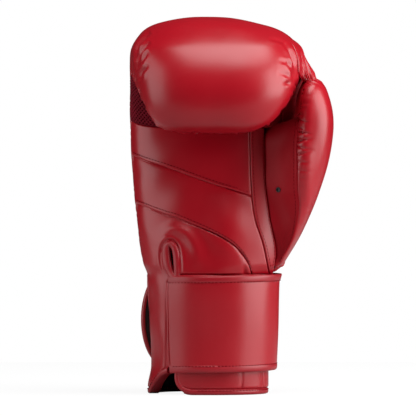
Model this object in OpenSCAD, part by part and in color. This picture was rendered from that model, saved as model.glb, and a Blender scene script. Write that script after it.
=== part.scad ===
// Hook-and-loop training boxing glove for the right hand, palm towards -Y.
// +Z runs from the cuff to the knuckles and +X points to the thumb side.
// The origin is the middle of the cuff's mouth, on the surface that the glove stands on.

/* [Cuff] */
// Width of the cuff across the wrist
cuff_w = 95; // [92:1:98]
// Depth of the cuff from palm to back
cuff_d = 73; // [71:1:76]
// Height of the cuff, up to its seam with the hand
cuff_h = 92; // [91:1:93]
// Thickness of the foam in the cuff's wall
cuff_foam_t = 5.5; // [4:0.5:6]

/* [Fist] */
// Width of the glove across the knuckles, without the thumb
fist_w = 133; // [130:1:135]
// Depth of the padded back, outside the middle line of the hand
back_d = 43; // [41:1:45]
// Height of the knuckles above the surface that the glove stands on
fist_top = 290; // [288:1:292]
// Thickness of the moulded foam over the knuckles
fist_foam_t = 24; // [18:1:25]

/* [Thumb] */
// How far the thumb reaches sideways from the wrist's middle
thumb_reach = 92; // [91:1:93]
// Thickness of the foam over the thumb's outside
thumb_foam_t = 7; // [5:0.5:8]

/* [Strap] */
// Height of the wrist strap between the middles of its rims
strap_h = 68; // [65:1:69]
// Thickness of the strap between its two faces
strap_t = 3.2; // [2.8:0.1:3.4]
// Length of the loose tab, past the place where the strap leaves the cuff
tab_len = 21; // [19:1:23]

/* [Skin] */
// Thickness of the leather panels
skin_t = 1.2; // [1:0.1:1.4]
// Diameter of the air hole in the thumb's web
vent_d = 3; // [2.5:0.1:3.5]

/* [Hidden] */

red = "#a81c26";
dark_red = "#5c0a17";
foam_grey = "#c9c4b8";
black = "#1b1a1a";

gap = 0.05;             // free space between two pieces that meet at an edge
layer_gap = 1.0;        // free space between two layers, whose facets differ
lining_t = 0.9;         // cloth lining
seam_a = 96;            // angle round the hand of the seams between its back and its palm
seam_gap = 0.4;         // free space at a seam, in degrees round the hand
crease_s = 212;         // distance along the glove at which the palm ends and the fingers curl
slit_top = 117;         // top of the slit in the palm side of the cuff
slit_l = -36;           // left edge of the slit
slit_r = -28;           // right edge of the slit
binding_h = 4.8;        // height of the tape that binds the cuff's hem
side_foam_t = 9;        // foam along the hand's sides
pad_t = 3;              // foam behind the palm
half_c = cuff_d / 2;
half_f = fist_w / 2;

// Sections along the glove, square to a middle line that climbs the wrist and curls over at the
// knuckles: [distance, x, y, z, lean, half width, depth outside, depth inside, squareness, slant].
// The lean turns "outside" from +Y, the back of the hand, to +Z and on towards the palm. The slant
// moves the outermost point sideways, because the little finger's knuckle is the lower one.
hand = [
    [  0, -4.0,   0,   0,              0, cuff_w / 2 - 1.6, half_c,       half_c,     2.2,  0],
    [ 42, -3.5,   0,  42,              0, cuff_w / 2 - 0.4, half_c,       half_c,     2.2,  0],
    [ 84, -2.8,   0,  84,              0, cuff_w / 2 + 0.4, half_c + 1,   half_c + 1, 2.2,  0],
    [ 92, -2.0, 0.3,  92,              0, cuff_w / 2 + 1.6, half_c + 2,   half_c + 1, 2.2,  0],
    [100,  0.5,   1, 100,              0, half_f - 12,      half_c + 5,   38,         2.2,  0],
    [130,  2.0,   4, 130,              0, half_f - 6,       back_d + 2,   38,         2.3,  0],
    [165,  2.5,   8, 165,              2, half_f - 2,       back_d + 3,   35,         2.4, -1],
    [205,  2.5,  12, 205,             12, half_f,           back_d,       30,         2.5, -3],
    [236,  2.5,   5, 235,             45, half_f,           back_d,       26,         2.7, -6],
    [259,  3.0, -13, fist_top - 40,   88, half_f,           40,           24,         2.8, -9],
    [280,  3.0, -33, 243,            130, half_f - 3,       40,           21,         2.8, -4],
    [300,  2.5, -44, 227,            168, half_f - 9,       37,           17,         2.8,  0],
    [315,  0.5, -47, 212,            188, half_f - 19,      29,            9,         2.6,  0],
    [323, -1.0, -48, 204.5,          198, half_f - 29,      16,            4,         2.4,  0],
    [327, -2.0, -49, 201,            204, half_f - 40,       4,            2,         2.2,  0]
];
lip_s = 327;

// Level sections of the thumb: [height, x, y, outward, inward, forward, backward, squareness]
thumb = [
    [ 97, 45.0,             -11,  8.0,  8,  8,  6, 2.0],
    [106, 48.5,             -12, 10.0,  9, 14, 12, 2.0],
    [120, 54.5,             -14, 12.0, 11, 20, 18, 2.1],
    [137, 60.0,             -16, 14.5, 12, 24, 23, 2.2],
    [153, 64.0,             -18, 17.0, 13, 26, 26, 2.3],
    [176, 69.5,             -21, 18.8, 14, 28, 26, 2.3],
    [200, thumb_reach - 19, -23, 19.0, 13, 28, 26, 2.3],
    [216, thumb_reach - 18, -25, 18.0, 12, 26, 23, 2.2],
    [230, thumb_reach - 18, -26, 14.5, 10, 21, 18, 2.1],
    [239, thumb_reach - 18, -26,  9.5,  6, 14, 12, 2.0],
    [243, thumb_reach - 18, -25,  3.0,  3,  5,  4, 2.0]
];
thumb_base = 97.5;
thumb_tip = 243;
crotch_z = 212;         // where the thumb parts from the hand
back_b = -80;           // angle round the thumb of its back seam

// Angle round the thumb of its front seam, by height
front_seam = [[97, 60], [114, 55], [132, 69], [153, 90], [176, 113], [195, 130], [243, 136]];

// Sideways places of the narrow gusset between the palm and the thumb's web, by height
gusset_l = [[cuff_h, 43], [114, 38.5], [133, 32.5], [157, 29.5], [195, 28.5], [crease_s, 28.5]];
gusset_r = [[cuff_h, 45.6], [110, 48], [137, 43], [164, 40], [191, 39.5], [crease_s, 39.5]];

// Heights of the two diagonal seams of the palm, by place across it
upper_seam = [[0, 184], [0.2, 176], [0.3, 173], [0.65, 162], [1, 152]];
lower_seam = [[0, 146.5], [0.2, 138], [0.3, 135.5], [0.6, 124], [0.75, 115], [0.82, 107], [0.86, 99]];

// ---------------------------------------------------------------- curves

function lerp(a, b, t) = a + (b - a) * t;
function smooth(t) = let (c = min(1, max(0, t))) c * c * (3 - 2 * c);
function power(v, k) = sign(v) * pow(abs(v), k);
function steps(a, b, n) = [for (i = [0 : n]) lerp(a, b, i / n)];

// The row before a distance, and the slope of the table at a row
function row_before(rows, s, i = 0) =
    i >= len(rows) - 2 || rows[i + 1][0] > s ? i : row_before(rows, s, i + 1);
function slope(rows, i) =
    let (a = rows[max(i - 1, 0)], b = rows[min(i + 1, len(rows) - 1)]) (b - a) / (b[0] - a[0]);

// A row between the rows of a table, on a smooth curve through them
function row_at(rows, s) =
    let (
        i = row_before(rows, s), a = rows[i], b = rows[i + 1], h = b[0] - a[0],
        t = (s - a[0]) / h, m = slope(rows, i) * h, n = slope(rows, i + 1) * h
    )
    a * (2 * t * t * t - 3 * t * t + 1) + m * (t * t * t - 2 * t * t + t)
    + b * (3 * t * t - 2 * t * t * t) + n * (t * t * t - t * t);

// A point of the hand: distance s along it, angle a round it (0 is the back, 90 the thumb side and
// 180 the palm) and depth d below the skin's outer face
function hand_pt(s, a, d = 0) =
    let (
        r = row_at(hand, s), k = 2 / r[8], out = max(0, power(cos(a), k)),
        x = (r[5] - d) * power(sin(a), k) + r[9] * out * out,
        n = (cos(a) > 0 ? r[6] - d : r[7] - d) * power(cos(a), k)
    )
    [r[1] + x, r[2] + n * cos(r[4]), r[3] + n * sin(r[4])];

// The angle of a point of the palm at height z and sideways place x
function palm_angle(z, x) =
    let (r = row_at(hand, z), q = (x - r[1]) / r[5])
    180 - sign(q) * asin(min(1, pow(abs(q), r[8] / 2)));

// A point of the thumb at height z and angle b round it: 0 is outward and 90 is forward
function tube_pt(z, b, d = 0) =
    let (
        r = row_at(thumb, z), k = 2 / r[7],
        x = max((cos(b) > 0 ? r[3] : r[4]) - d, 0.5),
        y = max((sin(b) > 0 ? r[5] : r[6]) - d, 0.5)
    )
    [r[1] + x * power(cos(b), k), r[2] - y * power(sin(b), k), z];

// ---------------------------------------------------------------- sheets and sweeps

// Triangles of an m by n grid of points, the first of which has number o
function grid_faces(m, n, o, flip) = [
    for (i = [0 : m - 2], j = [0 : n - 2])
        let (a = o + i * n + j, b = a + 1, c = a + n + 1, d = a + n)
        each flip ? [[a, b, c], [a, c, d]] : [[a, c, b], [a, d, c]]
];

// Triangles of the walls between the rims of two such grids, the second one numbered from o
function rim_faces(m, n, o, flip) =
    let (rim = concat(
        [for (j = [0 : n - 2]) j], [for (i = [0 : m - 2]) i * n + n - 1],
        [for (j = [n - 1 : -1 : 1]) (m - 1) * n + j], [for (i = [m - 1 : -1 : 1]) i * n]))
    [
        for (k = [0 : len(rim) - 1])
            let (a = rim[k], b = rim[(k + 1) % len(rim)])
            each flip ? [[a, a + o, b + o], [a, b + o, b]] : [[a, b + o, a + o], [a, b, b + o]]
    ];

// A closed sheet between an outer and an inner grid of points
module sheet(outer, inner, flip = true) {
    m = len(outer);
    n = len(outer[0]);
    points = [for (row = outer) each row, for (row = inner) each row];
    polyhedron(points, concat(
        grid_faces(m, n, 0, flip), grid_faces(m, n, m * n, !flip), rim_faces(m, n, m * n, flip)));
}

// A solid swept through rings of points, with flat ends
module sweep(rings) {
    m = len(rings);
    n = len(rings[0]);
    points = [for (ring = rings) each ring];
    sides = [
        for (i = [0 : m - 2], j = [0 : n - 1])
            let (a = i * n + j, b = i * n + (j + 1) % n, c = b + n, d = a + n)
            each [[a, b, c], [a, c, d]]
    ];
    ends = [for (j = [1 : n - 2]) each [[0, j + 1, j], [(m - 1) * n, (m - 1) * n + j, (m - 1) * n + j + 1]]];
    polyhedron(points, concat(sides, ends));
}

// ---------------------------------------------------------------- fist

// The back's edge on the thumb side draws back to let the thumb in
function shell_edge(s) = seam_a - 18 * smooth((s - 97) / 16) * smooth((216 - s) / 20);
function shell_a(s, t, trim = 0) =
    lerp(trim - seam_a, seam_a - trim, t) - (seam_a - shell_edge(s)) * pow(t, 5);

shell_rows = steps(cuff_h + gap, lip_s, 24);
module fist_shell() {
    function row(s, d) = [for (t = steps(0, 1, 16)) hand_pt(s, shell_a(s, t), d)];
    color(red)
        sheet([for (s = shell_rows) row(s, 0)], [for (s = shell_rows) row(s, skin_t)]);
}

// The moulded foam is thickest over the knuckles and thins to the wrist and to the fingertips
function foam_depth(s, a) =
    let (
        full = lerp(7, fist_foam_t, smooth((s - 100) / 90)) * lerp(1, 0.1, smooth((s - 294) / 26)),
        side = min(full, side_foam_t)
    )
    skin_t + layer_gap + lerp(full, side, pow(abs(sin(a)), 3));

module fist_foam() {
    rows = [for (s = shell_rows) if (s < lip_s - 5) s + 0.5];
    function angles(s) = [for (t = steps(0, 1, 10)) shell_a(s, t, 1.5)];
    color(foam_grey)
        sheet([for (s = rows) [for (a = angles(s)) hand_pt(s, a, skin_t + layer_gap)]],
              [for (s = rows) [for (a = angles(s)) hand_pt(s, a, foam_depth(s, a))]]);
}

// A panel of the curled side of the mitt, between two distances and two angles
module curl_panel(s0, s1, a0, a1, na) {
    stations = concat([s0], [for (s = shell_rows) if (s > s0 + 2 && s < s1 - 2) s], [s1]);
    angles = steps(a0 + seam_gap, a1 - seam_gap, na);
    color(red)
        sheet([for (s = stations) [for (a = angles) hand_pt(s, a, 0)]],
              [for (s = stations) [for (a = angles) hand_pt(s, a, skin_t)]]);
}

vent_a = 224;           // angles and distances round which the side panels meet
index_a = 136;
vent_s = 262;
module mitt_underside() { curl_panel(crease_s + 0.2, lip_s, index_a, vent_a, 7); }
module side_panel_index() { curl_panel(crease_s + 0.2, lip_s, seam_a, index_a, 4); }
module side_panel_pinky() { curl_panel(vent_s + 0.2, lip_s, vent_a, 360 - seam_a, 4); }
module side_vent() {
    color(dark_red) curl_panel(crease_s + 0.2, vent_s - 0.2, vent_a, 360 - seam_a, 4);
}

// The bar that the fingers close on, behind the leather of the crease
module grip_bar() {
    stations = steps(220, 270, 8);
    function under(i, j) = skin_t + layer_gap + 2 + 6 * sin(22.5 * i) * (0.4 + 0.6 * sin(30 * j));
    angles = steps(150, 210, 6);
    color(foam_grey)
        sheet([for (s = stations) [for (a = angles) hand_pt(s, a, skin_t + layer_gap)]],
              [for (i = [0 : 8]) [for (j = [0 : 6]) hand_pt(stations[i], angles[j], under(i, j))]]);
}

// ---------------------------------------------------------------- palm

function palm_left(z) = hand_pt(z, 360 - seam_a - seam_gap)[0];

// A place across the palm: u is 0 at the pinky edge, 0.2 to 0.3 at the slit and 1 at the gusset
function palm_x(u, z) =
    u < 0.2 ? lerp(palm_left(z), slit_l, u / 0.2)
    : u < 0.3 ? lerp(slit_l, slit_r, (u - 0.2) / 0.1)
    : lerp(slit_r, row_at(gusset_l, z)[1] - 0.15, (u - 0.3) / 0.7);
function palm_pt(u, z, d) = hand_pt(z, palm_angle(z, palm_x(u, z)), d);
function upper_z(u) = row_at(upper_seam, u)[1];
function lower_z(u) = u > 0.861 ? cuff_h : row_at(lower_seam, u)[1];

// A sheet of the palm at the given places across it, between two lists of heights
module palm_sheet(places, low, high, rows, d0, d1) {
    function row(t, d) = [for (k = [0 : len(places) - 1]) palm_pt(places[k], lerp(low[k], high[k], t), d)];
    sheet([for (t = steps(0, 1, rows)) row(t, d0)], [for (t = steps(0, 1, rows)) row(t, d1)], flip = false);
}

module palm_upper() {
    us = steps(0, 1, 13);
    color(red)
        palm_sheet(us, [for (u = us) upper_z(u) + 0.2], [for (u = us) crease_s], 6, 0, skin_t);
}

module palm_band() {
    us = concat(steps(0, 0.86, 12), [0.862, 0.93, 1]);
    color(red)
        palm_sheet(us, [for (u = us) lower_z(u) + (u > 0.861 ? gap : 0.2)], [for (u = us) upper_z(u)],
                   6, 0, skin_t);
}

// The heel runs on down the pinky side of the cuff and, past the slit, down to the cuff's cover
module palm_heel() {
    us = concat(steps(0, 0.2, 3), [0.2002], steps(0.22, 0.28, 2), [0.2998], steps(0.3, 0.859, 8));
    function low(u) =
        u <= 0.2 ? hem_z(palm_angle(12, palm_x(u, 12)) - 360)
        : u < 0.3 ? slit_top + 1.5 * sin(1800 * (u - 0.2))
        : cuff_h + gap;
    color(red)
        palm_sheet(us, [for (u = us) low(u)], [for (u = us) lower_z(u)], 7, 0, skin_t);
}

module palm_pad() {
    us = steps(0.055, 0.985, 12);
    function low(u) = u > 0.12 && u < 0.36 ? slit_top + 6 : cuff_h + 1;
    color(foam_grey)
        palm_sheet(us, [for (u = us) low(u)], [for (u = us) 209], 7, skin_t + layer_gap,
                   skin_t + layer_gap + pad_t);
}

// ---------------------------------------------------------------- thumb

// The narrow gusset that runs down between the palm and the thumb's web
module thumb_gusset() {
    heights = steps(cuff_h + 1, crease_s, 10);
    function row(z, d) =
        [for (x = steps(row_at(gusset_l, z)[1] + 0.15, row_at(gusset_r, z)[1] - 0.15, 2))
            hand_pt(z, palm_angle(z, x), d)];
    color(red)
        sheet([for (z = heights) row(z, 0)], [for (z = heights) row(z, skin_t)], flip = false);
}

function front_b(z) = row_at(front_seam, z)[1];

// The outside of the thumb starts at the edge of the hand's back and, above the crotch, at its own
// back seam
function thumb_pt(z, t, d) =
    let (
        b = lerp(back_b, front_b(z), t), own = smooth((z - crotch_z + 5) / 5),
        start = lerp(hand_pt(z, shell_edge(z) + 0.6, d), tube_pt(z, back_b, d), own)
    )
    lerp(start, tube_pt(z, b, d), smooth(t / 0.34));
thumb_rows = concat(steps(thumb_base, crotch_z - 5, 10), [crotch_z - 2.5, crotch_z, crotch_z + 5]);

module thumb_shell() {
    heights = concat(thumb_rows, steps(222, thumb_tip, 5));
    places = steps(0, 1, 14);
    color(red)
        sheet([for (z = heights) [for (t = places) thumb_pt(z, t, 0)]],
              [for (z = heights) [for (t = places) thumb_pt(z, t, skin_t)]]);
}

module thumb_foam() {
    heights = concat([for (z = thumb_rows) if (z > 110) z], [222, 228, 234]);
    places = steps(0.14, 0.92, 8);
    function depth(t) = skin_t + layer_gap + 0.8 + (thumb_foam_t - 0.8) * smooth(min(t, 1 - t) / 0.3);
    color(foam_grey)
        sheet([for (z = heights) [for (t = places) thumb_pt(z, t, skin_t + layer_gap)]],
              [for (z = heights) [for (t = places) thumb_pt(z, t, depth(t))]]);
}

// A point of the thumb's inner face: height z, and u from its front seam to its back seam
function inner_pt(z, u, d) = tube_pt(z, lerp(front_b(z) + 0.8, 359.2 + back_b, u), d);

// A point of the floor of the crotch: u as above, and w from the thumb to the hand
function crotch_pt(u, w) =
    let (
        first = palm_angle(crotch_z, row_at(gusset_r, crotch_z)[1] + 0.15),
        far = hand_pt(crotch_z - 0.3 - 4.4 * pow(u, 6), lerp(first, shell_edge(crotch_z - 4) + 1.5, u)),
        hollow = [0, 3.5 * (1 - u), -2.5 * sin(180 * u)] * sin(180 * w)
    )
    lerp(inner_pt(crotch_z + 0.3, u, 0), far, w) + hollow + [0, 1.6 * pow(1 - u, 6) - 0.8 * pow(u, 6), 0];

// The face of the thumb that looks at the fist. Its leather runs on over the crotch to the hand.
module thumb_inner() {
    across = steps(0, 1, 7);
    heights = steps(thumb_tip - 0.4, crotch_z + 4, 5);
    function face(d) = [for (z = heights) [for (u = across) inner_pt(z, u, d)]];
    function ground(d) = [for (w = steps(0, 0.97, 4)) [for (u = across) crotch_pt(u, w) - [0, 0, d]]];
    color(red) sheet(concat(face(0), ground(0)), concat(face(skin_t), ground(skin_t)), flip = false);
}

// The web from the thumb's front seam to the gusset, a little hollow between them
function web_pt(z, t, d) =
    let (
        a = tube_pt(z, front_b(z) + 0.8, d), x = row_at(gusset_r, z)[1] + 0.15,
        b = hand_pt(z, palm_angle(z, x), d), dip = 3.5 * sin(180 * t) * smooth((z - 100) / 50)
    )
    lerp(a, b, t) + [0, dip, 0];

module thumb_web() {
    heights = steps(thumb_base + 1, crotch_z, 10);
    places = steps(0, 1, 5);
    color(red)
        sheet([for (z = heights) [for (t = places) web_pt(z, t, 0)]],
              [for (z = heights) [for (t = places) web_pt(z, t, skin_t)]]);
}

// A black eyelet round the air hole of the web
module vent_eyelet() {
    place = web_pt(157, 0.6, -0.7);
    along = web_pt(157, 0.5, 0) - web_pt(157, 0.7, 0);
    r = vent_d / 2;
    color(black)
        translate(place) rotate([90, 0, atan2(along[1], along[0])])
            rotate_extrude($fn = 32)
                polygon([[r, -0.2], [r + 1, -0.2], [r + 1, 0.15], [r + 0.7, 0.4], [r + 0.2, 0.4], [r, 0.2]]);
}

// The strap of leather that ties the thumb's tip to the mitt
module thumb_lock() {
    across = steps(0, 1, 4);
    along = steps(0, 1, 8);
    function place(v, w, d) =
        let (
            a = hand_pt(lerp(247, 286, w), lerp(71, 79, w), -d), c = tube_pt(240.5, lerp(-75, 100, w), -d),
            mid = (a + c) / 2 + [lerp(3, 0, w) + d * 0.8, lerp(2, -2, w), -1 + d * 0.5]
        )
        a * (1 - v) * (1 - v) + mid * 2 * v * (1 - v) + c * v * v;
    color(red)
        sheet([for (v = along) [for (w = across) place(v, w, 0.4 + skin_t)]],
              [for (v = along) [for (w = across) place(v, w, 0.4)]], flip = false);
}

// ---------------------------------------------------------------- linings

// Depth of the hand's lining: inside the foam of the back, and close to the palm
function lining_depth(s, a) =
    let (
        turn = abs(a > 180 ? a - 360 : a), back = foam_depth(s, min(turn, 90)) + 1.8,
        palm = skin_t + pad_t + 2 * layer_gap + 6.5 * smooth((s - 206) / 14)
    )
    lerp(back, palm, smooth((turn - 97) / 16));

// The cloth bag for the hand is cut from one sheet that opens along the thumb side
module hand_lining() {
    stations = steps(cuff_h + 1, 286, 14);
    function open(s) = 15 * smooth((s - 104) / 20) * smooth((204 - s) / 20);
    function angles(s) = steps(seam_a + 0.3 + open(s), 360 + seam_a - 0.3 - open(s), 16);
    color(black)
        sheet([for (s = stations) [for (a = angles(s)) hand_pt(s, a, lining_depth(s, a))]],
              [for (s = stations) [for (a = angles(s)) hand_pt(s, a, lining_depth(s, a) + lining_t)]]);
}

// The cloth lining of the thumb's stall, which opens towards the hand along its inner side
module thumb_lining() {
    heights = steps(122, 228, 8);
    function open(z) = 62 * smooth((190 - z) / 20);
    function angles(z) = steps(-178 + open(z), 178 - open(z), 12);
    function depth(z, b) = skin_t + 2 * layer_gap + thumb_foam_t * smooth((124 - abs(b - 18)) / 44);
    color(black)
        sheet([for (z = heights) [for (b = angles(z)) tube_pt(z, b, depth(z, b))]],
              [for (z = heights) [for (b = angles(z)) tube_pt(z, b, depth(z, b) + lining_t)]]);
}

// ---------------------------------------------------------------- cuff

// Height of the cuff's cut edge above the hem's binding. On the pinky side of the slit it climbs to
// the strap, and on the other side it has a rounded corner.
function hem_z(a) =
    binding_h - 0.3 + (a < -seam_a ? 16.5 * smooth((-seam_a - a) / 46) : 6 * smooth((a - 186) / 26));
function slit_angle(z, right) = palm_angle(z, right ? slit_r : slit_l);

// A sheet of the cuff between two depths, whose last edge lies beside the slit. A whole one starts
// at the slit's other edge, and any other at the seam on the pinky side.
module cuff_sheet(whole, d0, d1, trim, low, high, n) {
    left = whole ? slit_angle(20, false) - 360 : -seam_a;
    function place(t, k, d) =
        let (
            level = hem_z(lerp(left, slit_angle(20, true), k / n)) + low, z = lerp(level, high, t),
            start = whole ? slit_angle(z, false) - 360 : left
        )
        hand_pt(z, lerp(start + trim, slit_angle(z, true) - trim, k / n), d);
    sheet([for (t = steps(0, 1, 4)) [for (k = [0 : n]) place(t, k, d0)]],
          [for (t = steps(0, 1, 4)) [for (k = [0 : n]) place(t, k, d1)]]);
}

module cuff_cover() {
    color(red) cuff_sheet(false, 0, skin_t, 0.3, 0, cuff_h, 24);
}

module cuff_foam() {
    d = skin_t + layer_gap;
    color(foam_grey) cuff_sheet(true, d, d + cuff_foam_t, 0.8, 0.2, cuff_h - 1, 26);
}

module cuff_lining() {
    d = skin_t + cuff_foam_t + layer_gap + 0.3;
    color(black) cuff_sheet(true, d, d + lining_t, 0.8, 0.2, cuff_h - 0.5, 26);
}

// The tape round the hem, flat below where the glove stands on it
module hem_binding() {
    wall = skin_t + cuff_foam_t + lining_t;
    section = [
        [-0.6, 2.8], [-0.4, 0.9], [0.8, 0], [wall - 0.6, 0], [wall + 0.6, 0.9], [wall + 0.8, 2.8],
        [wall - 0.4, binding_h - 0.35], [0.2, binding_h - 0.35]
    ];
    a0 = slit_angle(16, false) - 359.2;
    a1 = slit_angle(9, true) - 0.8;
    function ring(a) = [for (p = section) hand_pt(hem_z(a) - binding_h + 0.3 + p[1], a, p[0])];
    color(red) sweep([for (a = steps(a0, a1, 34)) ring(a)]);
}

// The tape round the slit: up its right edge, over its top and down its left edge
module slit_binding() {
    top_x = (slit_l + slit_r) / 2;
    half = (slit_r - slit_l) / 2 - 0.9;
    right = [for (z = [15, 40, 65, 84, 96, 106]) [slit_r - 0.75, z]];
    left = [for (z = [106, 96, 89, 84, 65, 40, 25]) [slit_l + 0.75, z]];
    arch = [for (t = [15 : 30 : 165]) [top_x + half * cos(t), slit_top - 8 + 6.5 * sin(t)]];
    path = concat(right, arch, left);
    function along(i) =
        let (v = path[min(i + 1, len(path) - 1)] - path[max(i - 1, 0)]) v / norm(v);
    function ring(i) =
        [for (t = [0 : 60 : 300])
            let (p = path[i] + [-along(i)[1], along(i)[0]] * 0.65 * cos(t))
            hand_pt(p[1], palm_angle(p[1], p[0]), 1.7 - 2.2 * sin(t))];
    color(red) sweep([for (i = [len(path) - 1 : -1 : 0]) ring(i)]);
}

// ---------------------------------------------------------------- strap

// The strap starts at its seam beside the slit, crosses the palm side and the thumb side, and
// sticks to the cuff's back. Its stretches meet where it bends: [first, last] angle of each.
seam_edge = palm_angle(50, -37);
bend_1 = 128;
bend_2 = 50;
leave_a = -32;          // the angle at which the tab leaves the cuff
palm_gap = 1.7;         // room under the strap for the slit's binding
back_gap = 3.6;         // room under the strap for the hook and loop
rim_w = 3;              // half height of the strap's rims
rim_t = strap_t / 2 + 0.6;

// Distance of the strap's inner face from the cuff, and the height of the strap's middle
function strap_gap(a) = lerp(palm_gap, back_gap, smooth((bend_1 - a) / 60));
function strap_z(a) = 53.5 + 0.0125 * (seam_edge - a);

// A point of the strap: angle a, height h above its middle, depth e below its outer face. Past the
// place where it leaves the cuff it runs straight on, one millimetre for each degree.
function strap_pt(a, h, e) =
    let (
        c = max(a, leave_a), z = strap_z(a) + h, d = e - strap_gap(c) - strap_t,
        p = hand_pt(z, c, d), q = hand_pt(z, c - 2, d),
        v = [q[0] - p[0], q[1] - p[1], 0]
    )
    p + v / norm(v) * (c - a);

// A layer of the strap between two angles and two depths
module strap_layer(a0, a1, e0, e1, n) {
    half = strap_h / 2 - rim_w - gap;
    heights = steps(-half, half, 3);
    sheet([for (a = steps(a0, a1, n)) [for (h = heights) strap_pt(a, h, e0)]],
          [for (a = steps(a0, a1, n)) [for (h = heights) strap_pt(a, h, e1)]]);
}

// The two rims of a stretch of the strap
module strap_rims(a0, a1, n) {
    for (side = [-1, 1])
        sweep([for (a = steps(a1, a0, n)) [for (t = [0 : 45 : 315])
            strap_pt(a, side * strap_h / 2 + rim_w * cos(t), strap_t / 2 - rim_t * sin(t))]]);
}

cover_e = skin_t + 0.1;
bend_gap = 0.4;        // free space at each bend, in degrees
module strap_palm_cover() { color(red) strap_layer(seam_edge, bend_1 + bend_gap, 0, skin_t, 8); }
module strap_palm_backing() { color(black) strap_layer(seam_edge, bend_1 + bend_gap, cover_e, strap_t, 8); }
module strap_palm_rims() { color(red) strap_rims(seam_edge, bend_1 + bend_gap, 8); }
module strap_side_cover() { color(red) strap_layer(bend_1 - bend_gap, bend_2 + bend_gap, 0, skin_t, 8); }
module strap_side_backing() {
    color(black) strap_layer(bend_1 - bend_gap, bend_2 + bend_gap, cover_e, strap_t, 8);
}
module strap_side_rims() { color(red) strap_rims(bend_1 - bend_gap, bend_2 + bend_gap, 8); }

// The last stretch ends in a round tab
tab_end = leave_a - tab_len;
round_len = 17;

module strap_back_layer(e0, e1) {
    full = strap_h / 2 - rim_w - gap;
    angles = concat(steps(bend_2 - bend_gap, tab_end + round_len, 9),
                    [for (t = [25, 45, 62, 76, 86]) tab_end + round_len - (round_len - rim_w) * sin(t)]);
    function half(a) =
        let (t = max(0, (tab_end + round_len - a) / (round_len - rim_w))) full * sqrt(max(0, 1 - t * t));
    sheet([for (a = angles) [for (w = steps(-1, 1, 3)) strap_pt(a, w * half(a), e0)]],
          [for (a = angles) [for (w = steps(-1, 1, 3)) strap_pt(a, w * half(a), e1)]]);
}
module strap_back_cover() { color(red) strap_back_layer(0, skin_t); }
module strap_back_backing() { color(black) strap_back_layer(cover_e, strap_t); }

// One rim runs out along the lower edge, round the tab's end and back along the upper edge
module strap_back_rim() {
    flat = [for (a = steps(bend_2 - bend_gap, tab_end + round_len, 8)) [a, strap_h / 2, 90]];
    turn = [for (t = [70, 50, 30, 12])
        [tab_end + round_len - round_len * cos(t), strap_h / 2 * sin(t), t]];
    upper = concat(flat, turn);
    lower = [for (i = [len(upper) - 1 : -1 : 0]) [upper[i][0], -upper[i][1], 360 - upper[i][2]]];
    path = concat(upper, [[tab_end, 0, 0]], lower);
    color(red)
        sweep([for (p = path) [for (t = [0 : 45 : 315])
            strap_pt(p[0] - rim_w * cos(t) * cos(p[2]), p[1] + rim_w * cos(t) * sin(p[2]),
                     strap_t / 2 + rim_t * sin(t))]]);
}

// Hook tape under the strap's last stretch, and loop tape on the cuff's back
module hook_patch() {
    angles = steps(22, tab_end + 8, 8);
    function half(a) = 22 * sqrt(max(0.2, 1 - pow(max(0, (tab_end + 20 - a) / 14), 2)));
    color(black)
        sheet([for (a = angles) [for (w = [-1, 0, 1]) strap_pt(a, w * half(a), strap_t + 0.35)]],
              [for (a = angles) [for (w = [-1, 0, 1]) strap_pt(a, w * half(a), strap_t + 1)]]);
}

module loop_patch() {
    angles = steps(44, leave_a + 2, 8);
    function place(a, h, d) = hand_pt(strap_z(a) + h, a, d);
    color(black)
        sheet([for (a = angles) [for (h = [-27, 0, 27]) place(a, h, -1.8)]],
              [for (a = angles) [for (h = [-27, 0, 27]) place(a, h, -1.1)]]);
}

// ---------------------------------------------------------------- all nodes

fist_shell();
fist_foam();
mitt_underside();
side_panel_index();
side_panel_pinky();
side_vent();
grip_bar();
palm_upper();
palm_band();
palm_heel();
palm_pad();
thumb_gusset();
thumb_web();
thumb_shell();
thumb_inner();
thumb_foam();
thumb_lock();
thumb_lining();
vent_eyelet();
hand_lining();
cuff_cover();
cuff_foam();
cuff_lining();
hem_binding();
slit_binding();
loop_patch();
strap_palm_cover();
strap_palm_backing();
strap_palm_rims();
strap_side_cover();
strap_side_backing();
strap_side_rims();
strap_back_cover();
strap_back_backing();
strap_back_rim();
hook_patch();
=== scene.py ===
"""A right-hand boxing glove, standing on its cuff with the palm towards the camera."""

import math

import bpy
import numpy as np
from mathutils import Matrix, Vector, kdtree


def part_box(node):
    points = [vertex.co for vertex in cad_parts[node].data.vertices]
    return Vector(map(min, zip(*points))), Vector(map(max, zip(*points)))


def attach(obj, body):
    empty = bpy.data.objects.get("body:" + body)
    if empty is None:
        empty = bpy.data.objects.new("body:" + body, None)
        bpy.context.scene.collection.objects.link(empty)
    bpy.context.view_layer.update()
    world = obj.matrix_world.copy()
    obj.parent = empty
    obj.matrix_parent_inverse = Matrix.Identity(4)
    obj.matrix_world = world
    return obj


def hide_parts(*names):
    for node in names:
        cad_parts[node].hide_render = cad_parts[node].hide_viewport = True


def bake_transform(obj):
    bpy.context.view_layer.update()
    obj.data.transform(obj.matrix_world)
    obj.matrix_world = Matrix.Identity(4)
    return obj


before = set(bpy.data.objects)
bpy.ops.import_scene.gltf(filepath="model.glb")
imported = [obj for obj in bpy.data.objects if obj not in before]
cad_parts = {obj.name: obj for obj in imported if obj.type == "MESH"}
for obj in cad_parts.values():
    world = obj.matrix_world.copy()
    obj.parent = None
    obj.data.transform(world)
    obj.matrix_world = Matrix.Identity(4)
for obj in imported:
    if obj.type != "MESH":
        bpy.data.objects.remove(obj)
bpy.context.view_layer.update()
MM = 0.001

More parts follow.
